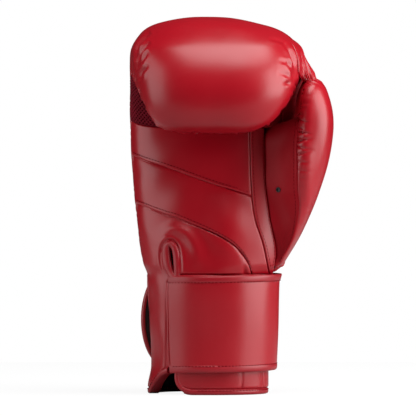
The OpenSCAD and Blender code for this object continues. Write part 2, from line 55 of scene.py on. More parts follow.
# ---------------------------------------------------------------- camera
# A long lens looks level at the palm side from three metres, so the glove stands upright and shows
# almost no perspective.
CAMERA_AWAY = 3.0
VIEW_WIDTH = 0.3209  # metres of the glove's plane that the view takes in
VIEW_MIDDLE = (-0.0039, 0.1427)  # sideways place and height of the view's middle


def placed(name, data):
    """A new object of the scene."""
    thing = bpy.data.objects.new(name, data)
    bpy.context.scene.collection.objects.link(thing)
    return thing


camera = placed("camera", bpy.data.cameras.new("camera"))
camera.location = (VIEW_MIDDLE[0], -CAMERA_AWAY, VIEW_MIDDLE[1])
camera.rotation_euler = (math.pi / 2, 0, 0)
camera.data.lens = camera.data.sensor_width * CAMERA_AWAY / VIEW_WIDTH
camera.data.clip_end = 20
bpy.context.scene.camera = camera


# ---------------------------------------------------------------- studio
# A white table top in a white room, lit by three soft boxes: one overhead and a broad one on either
# side, of which the thumb side's is the stronger.
def grey(level):
    return level, level, level, 1


class Socket:
    """An output of a shader node. Arithmetic on it adds Math nodes to its material."""

    def __init__(self, finish, output):
        self.finish, self.output = finish, output

    def maths(self, operation, *values):
        return self.finish.node("ShaderNodeMath", {"operation": operation}, dict(enumerate(values)))

    def __add__(self, other):
        return self.maths("ADD", self, other)

    def __sub__(self, other):
        return self.maths("SUBTRACT", self, other)

    def __rsub__(self, other):
        return self.maths("SUBTRACT", other, self)

    def __mul__(self, other):
        return self.maths("MULTIPLY", self, other)

    __radd__, __rmul__ = __add__, __mul__


class Finish:
    """A material, or the world's light, that is made from shader nodes."""

    def __init__(self, name, owner=None):
        self.owner = owner or bpy.data.materials.new(name)
        self.owner.use_nodes = True
        self.tree = self.owner.node_tree
        self.tree.nodes.clear()

    def node(self, kind, settings=None, values=None, output=0):
        made = self.tree.nodes.new(kind)
        for key, value in (settings or {}).items():
            setattr(made, key, value)
        for key, value in (values or {}).items():
            if isinstance(value, Socket):
                self.tree.links.new(value.output, made.inputs[key])
            else:
                made.inputs[key].default_value = value
        return Socket(self, made.outputs[output]) if made.outputs else made

    def mix(self, factor, first, second):
        """One colour turning into another."""
        return self.node("ShaderNodeMix", {"data_type": "RGBA"}, {0: factor, 6: first, 7: second}, 2)

    def texture(self, kind, settings=None, **values):
        """A texture laid through the piece in its own coordinates."""
        place = self.node("ShaderNodeTexCoord", output="Object")
        return self.node("ShaderNodeTex" + kind, settings, {"Vector": place, **values})

    def bumps(self, height, strength, distance):
        """A raised surface: a height of 1 stands up by a distance in metres."""
        values = {"Height": height, "Strength": strength, "Distance": distance}
        return self.node("ShaderNodeBump", {}, values)

    def coated(self, values):
        """The material, once it has the values of its surface."""
        surface = self.node("ShaderNodeBsdfPrincipled", {}, values)
        self.node("ShaderNodeOutputMaterial", {}, {"Surface": surface})
        return self.owner


FLOOR_SIZE = (1.6, 1.2)
floor_mesh = bpy.data.meshes.new("floor")
floor_mesh.from_pydata(
    [(x * FLOOR_SIZE[0] / 2, y * FLOOR_SIZE[1] / 2, 0) for x, y in ((-1, -1), (1, -1), (1, 1), (-1, 1))],
    [], [(0, 1, 2, 3)])
white = Finish("white_table")
seen = white.node("ShaderNodeLightPath", output="Is Camera Ray")
tone = white.mix(seen, grey(0.42), grey(0.8))  # the glove mirrors a greyer one
matt = white.node("ShaderNodeBsdfDiffuse", {}, {"Color": tone})
bright = white.node("ShaderNodeEmission", {}, {"Color": grey(1), "Strength": 1.0})
blended = white.node("ShaderNodeMixShader", {}, {0: seen * 0.9, 1: matt, 2: bright})
white.node("ShaderNodeOutputMaterial", {}, {"Surface": blended})
floor_mesh.materials.append(white.owner)
placed("floor", floor_mesh)

ROOM_LIGHT = 0.03
room = Finish("room", bpy.data.worlds.new("room"))
bpy.context.scene.world = room.owner
seen = room.node("ShaderNodeLightPath", output="Is Camera Ray")
shade = room.node("ShaderNodeBackground", {}, {"Color": grey(ROOM_LIGHT), "Strength": 1.0})
bright = room.node("ShaderNodeBackground", {}, {"Color": grey(1), "Strength": 1.0})
blended = room.node("ShaderNodeMixShader", {}, {0: seen, 1: shade, 2: bright})
room.node("ShaderNodeOutputWorld", {}, {"Surface": blended})

for name, place, size, power in (
    ("high_box", (0.25, -0.4, 1.45), (1.2, 0.9), 24),
    ("pinky_box", (-1.4, -0.45, 0.5), (1.4, 1.5), 18),
    ("thumb_box", (1.4, -0.45, 0.5), (1.5, 1.5), 47),
):
    lamp = placed(name, bpy.data.lights.new(name, "AREA"))
    lamp.data.shape, lamp.data.size, lamp.data.size_y = "RECTANGLE", size[0], size[1]
    lamp.data.energy = power
    lamp.location = place
    lamp.rotation_euler = (Vector((0, 0, 0.15)) - Vector(place)).to_track_quat("-Z", "Y").to_euler()
bpy.context.scene.view_settings.view_transform = "Standard"


# ---------------------------------------------------------------- fist cover
# The padded back and curled front of the mitt are one piece of smooth coated leather, drawn over a
# moulded foam shell and sewn all round to the panels of the palm side. The seams gather it into
# small creases, and it is pleated towards the thumb's tie at the knuckle of the index finger.
def measure(node):
    """Lowest and highest corners of a solid of the frame, in millimetres."""
    return [np.array(corner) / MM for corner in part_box(node)]


shell_lo, shell_hi = measure("fist_shell")
hem_lo, hem_hi = measure("hem_binding")
fist_top = shell_hi[2]
# The sections' half widths and depths: each solid ends at a section's middle plus its half size
half_f, back_d = 2.5 - shell_lo[0], shell_hi[1] - 12.1
half_w, half_c = -2.96 - hem_lo[0], hem_hi[1] - 0.47
cuff_h = measure("cuff_cover")[1][2]

# Sections square to a middle line that climbs the wrist and curls over at the knuckles:
# distance, x, y, z, lean, half width, depth outside, depth inside, squareness and slant.
HAND = [
    [0, -4.0, 0, 0, 0, half_w - 1.6, half_c, half_c, 2.2, 0],
    [42, -3.5, 0, 42, 0, half_w - 0.4, half_c, half_c, 2.2, 0],
    [84, -2.8, 0, 84, 0, half_w + 0.4, half_c + 1, half_c + 1, 2.2, 0],
    [92, -2.0, 0.3, 92, 0, half_w + 1.6, half_c + 2, half_c + 1, 2.2, 0],
    [100, 0.5, 1, 100, 0, half_f - 12, half_c + 5, 38, 2.2, 0],
    [130, 2.0, 4, 130, 0, half_f - 6, back_d + 2, 38, 2.3, 0],
    [165, 2.5, 8, 165, 2, half_f - 2, back_d + 3, 35, 2.4, -1],
    [205, 2.5, 12, 205, 12, half_f, back_d, 30, 2.5, -3],
    [236, 2.5, 5, 235, 45, half_f, back_d, 26, 2.7, -6],
    [259, 3.0, -13, fist_top - 40, 88, half_f, 40, 24, 2.8, -9],
    [280, 3.0, -33, 243, 130, half_f - 3, 40, 21, 2.8, -4],
    [300, 2.5, -44, 227, 168, half_f - 9, 37, 17, 2.8, 0],
    [315, 0.5, -47, 212, 188, half_f - 19, 29, 9, 2.6, 0],
    [323, -1.0, -48, 204.5, 198, half_f - 29, 16, 4, 2.4, 0],
    [327, -2.0, -49, 201, 204, half_f - 40, 4, 2, 2.2, 0],
]
LIP = 327  # distance along the hand at which the fingers' end closes
CREASE = 212  # and at which the palm ends and the fingers curl
SEAM = 96  # angle round the hand of the seams between its back and its palm


def lerp(a, b, t):
    return a + (b - a) * t


def smooth(t):
    t = np.clip(t, 0, 1)
    return t * t * (3 - 2 * t)


def hump(x, middle, width):
    return np.exp(-(((x - middle) / width) ** 2))


def power(value, exponent):
    return np.sign(value) * np.abs(value) ** exponent


def row_at(rows, place):
    """Rows of a table at some places, on smooth curves through the table's own rows."""
    rows, place = np.asarray(rows, float), np.asarray(place, float)
    last = len(rows) - 1
    i = np.clip(np.searchsorted(rows[:, 0], place, side="right") - 1, 0, last - 1)
    before, after = np.maximum(np.arange(last + 1) - 1, 0), np.minimum(np.arange(last + 1) + 1, last)
    slope = (rows[after] - rows[before]) / (rows[after, :1] - rows[before, :1])
    h = (rows[i + 1, 0] - rows[i, 0])[..., None]
    t = (place[..., None] - rows[i, :1]) / h
    return (
        rows[i] * (2 * t**3 - 3 * t**2 + 1) + slope[i] * h * (t**3 - 2 * t**2 + t)
        + rows[i + 1] * (3 * t**2 - 2 * t**3) + slope[i + 1] * h * (t**3 - t**2))


def curve(places, count):
    """Points on a smooth curve through places."""
    rows = [[i, *place] for i, place in enumerate(places)]
    return row_at(rows, np.linspace(0, len(rows) - 1, count))[:, 1:]


def hand_pt(s, a, d=0):
    """Points of the hand: distance s along it, angle a round it (0 back, 90 thumb side, 180 palm)
    and depth d below its skin."""
    s, a, d = np.broadcast_arrays(np.asarray(s, float), np.radians(a), np.asarray(d, float))
    _, cx, cy, cz, lean, half, back, front, square, slant = np.moveaxis(row_at(HAND, s), -1, 0)
    k, lean = 2 / square, np.radians(lean)
    out = np.maximum(0, power(np.cos(a), k))
    x = (half - d) * power(np.sin(a), k) + slant * out * out
    n = (np.where(np.cos(a) > 0, back, front) - d) * power(np.cos(a), k)
    return np.stack([cx + x, cy + n * np.cos(lean), cz + n * np.sin(lean)], -1)


def shell_edge(s):
    """Angle of the back's edge on the thumb side, where it draws back to let the thumb in."""
    return SEAM - 18 * smooth((s - 97) / 16) * smooth((216 - s) / 20)


def stations(length, step, roll):
    """Places from 0 to 1 along a panel: even ones, and closer ones where its two ends roll down."""
    near = roll * (1 - np.cos(np.linspace(0, math.pi / 2, 6)))[:-1]
    even = np.linspace(roll, length - roll, max(2, round((length - 2 * roll) / step) + 1))
    return np.concatenate([near, even, (length - near)[::-1]]) / length


def run(points, axis):
    """Distance along each row (axis 1) or column (axis 0) of a grid of points."""
    part = np.linalg.norm(np.diff(points, axis=axis), axis=-1)
    start = np.zeros_like(np.take(part, [0], axis=axis))
    return np.cumsum(np.concatenate([start, part], axis=axis), axis=axis)


def unit(ways):
    return ways / np.linalg.norm(ways, axis=-1, keepdims=True)


def lumps(points, size, seed):
    """Soft random lumps of about the given size, mostly between -1 and 1."""
    rng = np.random.default_rng(seed)
    total = np.zeros(points.shape[:-1])
    for _ in range(9):
        way = rng.normal(size=3)
        way *= 2 * math.pi / size * rng.uniform(0.6, 1.3) / np.linalg.norm(way)
        total += np.cos(points @ way + rng.uniform(0, 2 * math.pi))
    return total / 3


def gathers(along, away, seed, pitch, reach, depth, width=1.3, full=0):
    """Creases that a seam gathers into leather. along is the distance on the seam, away from it. They
    keep their depth over a first distance."""
    rng = np.random.default_rng(seed)
    total, place = np.zeros(along.shape), along.min()
    while place < along.max():
        place += pitch * rng.uniform(0.4, 1.6)
        long, slant = full + reach * rng.uniform(0.4, 1.4), rng.uniform(-0.3, 0.3)
        across = (along - place - slant * away) / (
            width * rng.uniform(0.7, 1.4) * (0.6 + 0.6 * away / long))
        fade = 1 - smooth((away - full) / (long - full))
        total -= depth * rng.uniform(0.4, 1.3) * np.exp(-across**2) * fade
    return total


RIDGE_AWAY, RIDGE_SHARE = 2.1, 0.35  # a fold's ridges: place in widths, and height in depths


def folds(points, lines, width, facing=1):
    """Creases along given lines. Each line is a depth and the (x, z) places that it passes, as seen
    from the palm side. A ridge runs along either side of it."""
    total = np.zeros(points.shape[:2])
    for deep, *places in lines:
        line = curve(places, 14 * len(places))
        reach = 4 * width
        seen_at = points[..., ::2]
        near = ((seen_at > line.min(0) - reach) & (seen_at < line.max(0) + reach)).all(-1)
        gaps = points[near][:, None, ::2] - line
        far = np.hypot(gaps[..., 0], gaps[..., 1])
        at = far.argmin(1)
        far = far[np.arange(len(at)), at] / width
        strength = deep * np.sin(math.pi * (0.04 + 0.92 * at / (len(line) - 1))) ** 0.6
        total[near] -= strength * (hump(far, 0, 1) - RIDGE_SHARE * hump(far, RIDGE_AWAY, 1))
    return total * facing


def closed_sheet(top, base, outward, kept=None):
    """Points and faces of a closed sheet between two grids. kept says which of its cells are there."""
    n, m = top.shape[:2]
    index = np.arange(n * m).reshape(n, m)
    cells = np.stack([index[:-1, :-1], index[1:, :-1], index[1:, 1:], index[:-1, 1:]], -1)
    faces = cells.reshape(-1, 4) if kept is None else cells[kept]
    if not outward:
        faces = faces[:, ::-1]
    edges = np.concatenate([faces[:, [k, (k + 1) % 4]] for k in range(4)])
    rim = edges[~np.isin(edges[:, 0] * n * m + edges[:, 1], edges[:, 1] * n * m + edges[:, 0])]
    walls = np.stack([rim[:, 1], rim[:, 0], rim[:, 0] + n * m, rim[:, 1] + n * m], -1)
    faces = np.concatenate([faces, faces[:, ::-1] + n * m, walls])
    used, faces = np.unique(faces, return_inverse=True)
    points = np.concatenate([top.reshape(-1, 3), base.reshape(-1, 3)])
    return points[used], faces.reshape(-1, 4), np.unique(rim)


def body_piece(name, points, faces, finish, body="glove", sharp=50):
    """A piece of the glove, from points in millimetres, that moves with a body of the frame."""
    mesh = bpy.data.meshes.new(name)
    mesh.from_pydata((points * MM).tolist(), [], faces if isinstance(faces, list) else faces.tolist())
    mesh.shade_smooth()
    mesh.set_sharp_from_angle(angle=math.radians(sharp))
    mesh.materials.append(finish)
    piece = placed(name, mesh)
    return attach(piece, body) if body else piece


def dress(piece, slot, *nodes, fill=None):
    """Hides the frame's solids that a piece stands for. piece, slot and fill are not used."""
    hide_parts(*nodes)


def normals(outer, inner):
    """Unit normals of a grid away from the one below it, and whether its own faces look that way."""
    normal = np.cross(np.gradient(outer, axis=0), np.gradient(outer, axis=1))
    normal /= np.maximum(np.linalg.norm(normal, axis=-1, keepdims=True), 1e-9)
    outward = np.sum(normal * (outer - inner)) > 0
    return (normal if outward else -normal), outward


def panel(name, shape, roll, finish, lift, kept=None, thick=0.5):
    """A panel of padded leather whose edges roll down into its seams. shape gives its grid of
    points at a depth, and lift how far the leather stands off that."""
    outer, inner = shape(0), shape(roll + thick)
    normal, outward = normals(outer, inner)
    rim = closed_sheet(outer, inner, outward, kept)[2]
    tree = kdtree.KDTree(len(rim))
    for i, point in enumerate(outer.reshape(-1, 3)[rim]):
        tree.insert(point, i)
    tree.balance()
    away = np.array([tree.find(p)[2] for p in outer.reshape(-1, 3)]).reshape(outer.shape[:2])
    depth = roll * (1 - np.sqrt(1 - (1 - np.minimum(away / roll, 1)) ** 2))
    off = lift * smooth(away / (0.8 * roll) + 0.3) - depth
    points, faces, _ = closed_sheet(outer + normal * off[..., None], inner, outward, kept)
    return body_piece(name, points, faces, finish)


def tint(colour, share=1):
    """A colour at a share of its strength."""
    return tuple(c * share for c in colour) + (1,)


def leather(name, colour, roughness=0.32, grain=1.0, gloss=0.4):
    """Coated leather: soft patches of tone and gloss, faint creases and a fine grain."""
    made = Finish(name)
    patch = made.texture("Noise", Scale=14.0, Detail=3.0)
    rub = made.texture("Noise", Scale=60.0, Detail=4.0)
    cells = made.texture("Voronoi", {"feature": "F1"}, Scale=1250.0)
    creases = made.texture("Noise", Scale=240.0, Detail=2.0)
    bumps = made.bumps(cells * 0.5 + creases, 0.25 * grain, 0.00012)
    return made.coated({
        "Base Color": made.mix(patch, tint(colour, 0.86), tint(colour, 1.14)), "Normal": bumps,
        "Roughness": (rub - 0.5) * 0.12 + (patch - 0.5) * 0.1 + roughness, "Specular IOR Level": gloss})


RED = (0.29, 0.0022, 0.0082)
red_leather = leather("red_leather", RED)
# A tenth darker and much less glossy copy of the red leather, for the panels under the curl, in the crotch
# and on the web: its darker colour is painted shade for those shadowed places.
dull_painted_shade_leather = leather("dull_painted_shade_leather", tuple(c * 0.9 for c in RED), 0.5, 1.0, 0.1)

FIST_ROLL = 3.0
fist_s = lerp(cuff_h, LIP, stations(250, 0.72, FIST_ROLL))[:, None]
fist_t = stations(215, 0.72, FIST_ROLL)[None, :]
fist_a = lerp(-SEAM, SEAM, fist_t) - (SEAM - shell_edge(fist_s)) * fist_t**5
fist = hand_pt(fist_s, fist_a)
from_left, from_wrist = run(fist, 1), run(fist, 0)
from_right = from_left[:, -1:] - from_left
from_lip = from_wrist[-1:] - from_wrist
curled = smooth((fist_s - 215) / 30)
ended = smooth((fist_s - 268) / 18)
along = fist_s + 0 * fist_a
fist_lift = 0.35 * lumps(fist, 46, 1)
fist_x = fist[..., 0]
shoulder = 1.0 + 1.1 * smooth((abs(fist_x + 2) - 10) / 30) * (1 - smooth((fist_x - 34) / 26))
fist_lift -= shoulder * smooth((fist[..., 2] - 262) / 16)
fist_lift += gathers(along, from_left, 2, 6.5, 14, 1.3) * (0.25 + 0.75 * curled)
fist_lift += gathers(along, from_right, 3, 6.0, 13, 1.5) * (0.2 + 0.8 * curled)
fist_lift += gathers(along, from_left, 5, 7, 12, 0.9, 1.5, 8) * ended
fist_lift += gathers(along, from_right, 6, 7, 12, 0.9, 1.5, 8) * ended
fist_lift += gathers(fist_x, from_lip, 4, 8, 11, 1.2)

# Long folds run down to the tie at the thumb's tip, and shorter ones to the other side's seam
front = smooth((-normals(fist, hand_pt(fist_s, fist_a, 1))[0][..., 1] - 0.06) / 0.2)
fist_lift += folds(fist, [
    (2.3, (55.4, 266.5), (58.6, 262.3), (60.6, 258), (61.8, 253.5), (62.6, 248.4), (63.0, 243.5)),
    (1.6, (57.0, 252.5), (59.6, 248.2), (61.0, 243.6), (61.4, 239.5)),
], 1.4, front)
fist_lift += folds(fist, [
    (0.7, (44.5, 271.6), (51, 270), (57.4, 266.3)), (0.7, (51, 254), (56, 252.5), (60.5, 250.4)),
    (0.8, (50, 244.5), (55, 243.5), (59.5, 241.5)), (1.3, (54.5, 236.5), (58.8, 237.5)),
    (2.4, (-50.1, 277), (-55.4, 271), (-58.2, 264), (-59.3, 256.8)),
    (2.4, (-49.7, 267.6), (-54.3, 262.5), (-56.8, 256.8), (-58.2, 250.3), (-58.4, 244.7)),
    (1.8, (-50.5, 259.6), (-54.4, 254), (-56.4, 247.5)),
    (1.9, (-50.5, 249.3), (-54.3, 245.6), (-55.9, 240.9)),
], 1.4, front)

# The curled end's seam is scalloped, and three tucks of leather hang from it
TUCKS = (-31.6, -13.0, 17.5)  # their sideways places
CURL_Z = 245  # height that the curled end turns about
from_seam = np.minimum(np.minimum(from_left, from_right), from_lip)
round_end = 50 * np.arctan2(fist_x, CURL_Z - fist[..., 2])
scallop = 1.2 * lumps(np.stack([round_end, 0 * round_end, 0 * round_end], -1), 6.5, 8)
outwards = np.stack([fist_x, 0 * round_end, 1.4 * (fist[..., 2] - CURL_Z)], -1)
outwards /= np.linalg.norm(outwards, axis=-1, keepdims=True) + 1
fist_shift = scallop * (1 - smooth(from_seam / 7)) * smooth((fist_s - 285) / 20)
for place in TUCKS:
    fist_shift += 3.0 * hump(fist_x, place, 1.5) * (1 - smooth(from_lip / 8))
    for beside, deep in ((-2.6, 1.6), (2.4, 2.2)):
        fist_lift -= deep * np.exp(-(((fist_x - place - beside) / 1.3) ** 2) - (from_lip / 7) ** 2)
fist_shift = fist_shift[..., None] * outwards

fist_cover = panel(
    "fist_cover", lambda d: hand_pt(fist_s, fist_a, d) + fist_shift, FIST_ROLL, red_leather, fist_lift)
dress(fist_cover, "leather_red", "fist_shell", "fist_foam", fill=0.95)


# ---------------------------------------------------------------- curled side of the mitt
# Plain panels of the same leather close the mitt where it looks at the palm and on its two sides.
# On the little finger's side the lower half of that panel is open mesh, which lets the air out.
VENT_TOP = 262  # distance along the hand at which the mesh gives way to leather
SIDE_INDEX, SIDE_PINKY = 136, 218  # angles of the seams under the curled fingers
CURL_ROLL = 1.3


def curl(name, s0, s1, a0, a1, roll, finish, step=1.0, relief=None):
    """A panel of the mitt's curled side, between two distances along it and two angles."""
    s = lerp(s0, s1, stations(s1 - s0, step, roll))[:, None]
    middle = run(hand_pt((s0 + s1) / 2, np.linspace(a0, a1, 9))[None], 1)[0, -1]
    a = lerp(a0, a1, stations(middle, step, roll))[None, :]
    face = hand_pt(s, a)
    lift = 0.3 * lumps(face, 30, 7) if relief is None else relief(run(face, 0), run(face, 1))
    return panel(name, lambda d: hand_pt(s, a, d), roll, finish, lift)


# The two panels under the curled fingers take the darker copy of the leather as painted shade.
underside = curl("finger_side", CREASE, LIP, SIDE_INDEX, SIDE_PINKY, CURL_ROLL, dull_painted_shade_leather)
dress(underside, "leather_red", "mitt_underside", "grip_bar", fill=0.6)
index_side = curl("index_side", CREASE, LIP, SEAM, SIDE_INDEX, CURL_ROLL, dull_painted_shade_leather)
dress(index_side, "leather_red", "side_panel_index")
pinky_side = curl("pinky_side", VENT_TOP, LIP, SIDE_PINKY, 360 - SEAM, CURL_ROLL, red_leather)
dress(pinky_side, "leather_red", "side_panel_pinky")


def woven_mesh(name, thread, painted_hole_shade):
    """Warp-knitted spacer mesh of matt threads. A darker colour, painted shade of its holes, is mixed in
    over soft random patches.
    """
    made = Finish(name)
    fibres = made.texture("Noise", Scale=900.0, Detail=2.0)
    patch = made.texture("Noise", Scale=90.0)
    bumps = made.bumps(fibres, 0.6, 0.0003)
    return made.coated({
        "Base Color": made.mix(patch, tint(painted_hole_shade), tint(thread)),
        "Roughness": fibres * 0.2 + 0.7, "Normal": bumps, "Specular IOR Level": 0.12})


def mesh_holes(up, across):
    """Staggered round holes between the threads of the mesh."""
    pitch = 2.4
    wave = sum(np.cos(2 * math.pi * way / pitch / 1.35) for way in (up + across, up - across))
    return 0.55 - 1.1 * smooth((wave - 0.1) / 1.2)


# Its second colour is painted shade of the mesh's holes.
dark_mesh = woven_mesh("dark_red_mesh", (0.19, 0.0018, 0.012), (0.07, 0.0005, 0.004))
vent = curl("side_mesh", CREASE, VENT_TOP, SIDE_PINKY, 360 - SEAM, 1.2, dark_mesh, 0.42, mesh_holes)
dress(vent, "mesh_dark_red", "side_vent")


# ---------------------------------------------------------------- palm
# Three panels of thin leather over a soft pad run slantwise across the palm. Each upper one is
# folded under, laid over the next and topstitched. The lowest runs on down the pinky side of the
# cuff, past a slit that lets the hand in.
SLIT = (-36, -28)  # sideways places of the slit's two edges
SLIT_TOP = 117
BINDING = 4.8  # height of the hem's tape
GUSSET_L = [[92, 43], [114, 38.5], [133, 32.5], [157, 29.5], [195, 28.5], [212, 28.5]]
GUSSET_R = [[92, 45.6], [110, 48], [137, 43], [164, 40], [191, 39.5], [212, 39.5]]
UPPER_SEAM = [[0, 184], [0.2, 176], [0.3, 173], [0.65, 162], [1, 152]]
LOWER_SEAM = [
    [0, 146.5], [0.2, 138], [0.3, 135.5], [0.6, 124], [0.75, 115], [0.82, 107], [0.86, 99], [0.872, 92]]


def palm_angle(z, x):
    """Angle round the hand of the palm's point at height z and sideways place x."""
    r = row_at(HAND, z)
    q = (x - r[..., 1]) / r[..., 5]
    return 180 - np.degrees(np.sign(q) * np.arcsin(np.minimum(1, np.abs(q) ** (r[..., 8] / 2))))


def line_at(line, place):
    """Second values of a line's rows at some first ones."""
    return row_at(line, place)[..., 1]


def palm_pt(u, z, d=0):
    """Points of the palm: u is 0 at its pinky edge, 0.2 to 0.3 at the slit and 1 at the gusset."""
    u, z = np.broadcast_arrays(u, z)
    left, right = hand_pt(z, 360 - SEAM)[..., 0], line_at(GUSSET_L, z)
    edge = lerp(SLIT[0] + 2.5, SLIT[0] - 0.6, smooth((z - 88) / 18))  # further in under the strap
    beyond = np.where(u < 0.3, lerp(edge, SLIT[1], (u - 0.2) / 0.1), lerp(SLIT[1], right, (u - 0.3) / 0.7))
    x = np.where(u < 0.2, lerp(left, edge, u / 0.2), beyond)
    return hand_pt(z, palm_angle(z, x), d)


CORNER = palm_angle(10.0, np.array([-16.0, -28.2]))  # angles of the cuff's round corner


def hem_z(a):
    """Height of the cuff's cut edge: it climbs to the strap on the pinky side of the slit, and has a
    rounded corner on its other side."""
    return BINDING - 0.3 + np.where(
        a < -SEAM, 16.5 * smooth((-SEAM - a) / 46),
        9 * (1 - np.sqrt(1 - np.clip((a - CORNER[0]) / (CORNER[1] - CORNER[0]), 0, 0.999) ** 2)))


def waist(points):
    """The cuff draws in a little on its pinky side, below the slit's top."""
    x, z = points[..., 0], points[..., 2]
    inwards = 2.1 * smooth((-x - 36) / 11) * smooth((z - 5) / 16) * smooth((88 - z) / 40)
    return points + inwards[..., None] * (1, 0, 0)


PALM_ROLL = 1.5
palm_u = np.unique(np.concatenate([stations(104, 0.9, PALM_ROLL), np.linspace(0.8, 0.88, 17)]))[None, :]
seam_end, seam_foot = LOWER_SEAM[-1]
lower_z = np.where(palm_u > seam_end, seam_foot, line_at(LOWER_SEAM, np.minimum(palm_u, seam_end)))
upper_z = line_at(UPPER_SEAM, palm_u)


def thenar(face):
    """The pad's swelling below the thumb."""
    far = ((face[..., 0] - 11) / 15) ** 2 + ((face[..., 2] - 126) / 26) ** 2
    return 3.6 * np.exp(-far)


def palm_panel(name, low, high, tuck=0):
    """A panel of the palm between two lines of heights, tucked under the one above it."""
    z = lerp(low, high, stations(float(np.max(high - low)), 0.9, PALM_ROLL)[:, None])
    face = palm_pt(palm_u, z)
    below = run(face, 0)[-1:] - run(face, 0)
    lift = 0.45 * lumps(face, 38, 11) - tuck * np.exp(-below / 3.5) + thenar(face)
    return panel(name, lambda d: palm_pt(palm_u, z, d), PALM_ROLL, red_leather, lift)


palm_top = palm_panel("palm_top", upper_z, CREASE + 0 * palm_u)
dress(palm_top, "leather_red", "palm_upper", "palm_pad", fill=0.4)
dress(palm_panel("palm_middle", lower_z, upper_z, 1.1), "leather_red", "palm_band", fill=0.4)

# The heel's grid has rows down to the cuff and rows above the slit's top. Its cells inside the
# slit are left out.
HEEL_END = 0.8695  # just short of the end of the seam above it
heel_u = np.unique(np.concatenate([
    0.2 * stations(19, 0.9, PALM_ROLL), lerp(0.2, 0.3, stations(8, 0.7, 1.0)),
    lerp(0.3, HEEL_END, stations(52, 0.9, PALM_ROLL)), np.linspace(0.8, HEEL_END, 15)]))[None, :]
heel_top = line_at(LOWER_SEAM, heel_u)
in_slit = (heel_u > 0.2) & (heel_u < 0.3)
arch = np.sqrt(np.clip(1 - ((heel_u - 0.25) / 0.05) ** 2, 0, 1))
split = np.minimum(SLIT_TOP - 4 + 4.5 * arch, lerp(cuff_h, heel_top, 0.45))
heel_low = np.where(heel_u <= 0.2, hem_z(palm_angle(12.0, palm_pt(heel_u, 12.0)[..., 0]) - 360), cuff_h)
rows_below, rows_above = stations(80, 1.0, PALM_ROLL)[:, None], stations(26, 0.8, PALM_ROLL)[1:, None]
heel_z = np.concatenate([lerp(heel_low, split, rows_below), lerp(split, heel_top, rows_above)])
heel_cells = np.ones((heel_z.shape[0] - 1, heel_z.shape[1] - 1), bool)
heel_cells[: len(rows_below) - 1] = ~(in_slit[0, :-1] | in_slit[0, 1:])
heel = palm_pt(heel_u, heel_z)
below = heel_top - heel_z
heel_lift = 0.4 * lumps(heel, 34, 12) - 1.3 * np.exp(-below / 4) + thenar(heel)
heel_lift += folds(heel, [
    (-1.5, (-39, 119), (-36, 124), (-29.7, 126.5), (-21, 123), (-14, 114), (-11, 104))], 4.0)
heel_lift += folds(heel, [
    (1.1, (-24.6, 93), (-24.6, 101), (-25.7, 109), (-28.3, 115.2), (-32.6, 118.3),
     (-36.8, 117), (-39.6, 112), (-40.1, 105), (-38.9, 97.5), (-35.6, 91))], 0.9)
heel_x = heel[..., 0]
seam_x = -34.4 + 0.035 * (heel[..., 2] - 54)  # the strap's seam, which draws the leather in
heel_lift -= 1.1 * hump(heel_x - seam_x, -0.6, 1.1) * (heel[..., 2] < 86)
heel_lift -= 1.2 * np.exp(-(((heel_x - 24) / 2.0) ** 2 + ((heel[..., 2] - cuff_h) / 6) ** 2))
palm_low = panel(
    "palm_low", lambda d: waist(palm_pt(heel_u, heel_z, d)), PALM_ROLL, red_leather, heel_lift, heel_cells)
dress(palm_low, "leather_red", "palm_heel", fill=0.4)


def thread(name, colour):
    """Twisted polyester thread."""
    made = Finish(name)
    twist = made.texture("Noise", Scale=2200.0, Detail=1.0)
    return made.coated({
        "Base Color": made.mix(twist, tint(colour, 0.8), tint(colour)),
        "Roughness": twist * 0.2 + 0.7, "Specular IOR Level": 0.06})


red_thread = thread("red_thread", (0.15, 0.0015, 0.005))
STITCH_PITCH, STITCH_LENGTH, THREAD = 2.7, 2.0, 0.26  # the last is half the thread's thickness


def stitching(name, lines, body="glove"):
    """Rows of stitches. Each line gives its points at a depth below the leather's face."""
    stitch = np.array([[-1, 0], [-0.8, 0.75], [0, 1], [0.8, 0.75], [1, 0]])
    turn = np.arange(6) * math.pi / 3
    points, faces = [], []
    for line in lines:
        path = line(0.0)
        up = line(-1.0) - path
        done = run(path[None], 1)[0]
        middles = np.arange(STITCH_PITCH / 2, done[-1] - STITCH_PITCH / 4, STITCH_PITCH)
        at, ahead, rise = [
            np.stack([np.interp(places, done, rows[:, k]) for k in range(3)], -1)
            for places, rows in ((middles, path), (middles + 0.4, path), (middles, up))]
        way = unit(ahead - at)
        side = unit(np.cross(way, rise))
        rise = np.cross(side, way)
        for p, w, s, r in zip(at, way, side, rise):
            first = len(points)
            points += [
                p + w * x * STITCH_LENGTH / 2 + (s * math.cos(b) * 1.3 + r * math.sin(b)) * THREAD * y
                for x, y in stitch for b in turn]
            faces += [
                [first + i * 6 + j, first + i * 6 + (j + 1) % 6,
                 first + i * 6 + 6 + (j + 1) % 6, first + i * 6 + 6 + j]
                for i in range(4) for j in range(6)]
    piece = body_piece(name, np.array(points), faces, red_thread, body)
    return piece


seam_u = np.linspace(0.01, 0.99, 160)
low_u = np.linspace(0.01, 0.862, 150)
stitching("palm_stitching", [
    lambda d, us=us, z=line_at(seam, us) + 2.7: palm_pt(us, z, d - 0.15 - thenar(palm_pt(us, z)))
    for us, seam in ((seam_u, UPPER_SEAM), (low_u, LOWER_SEAM))])


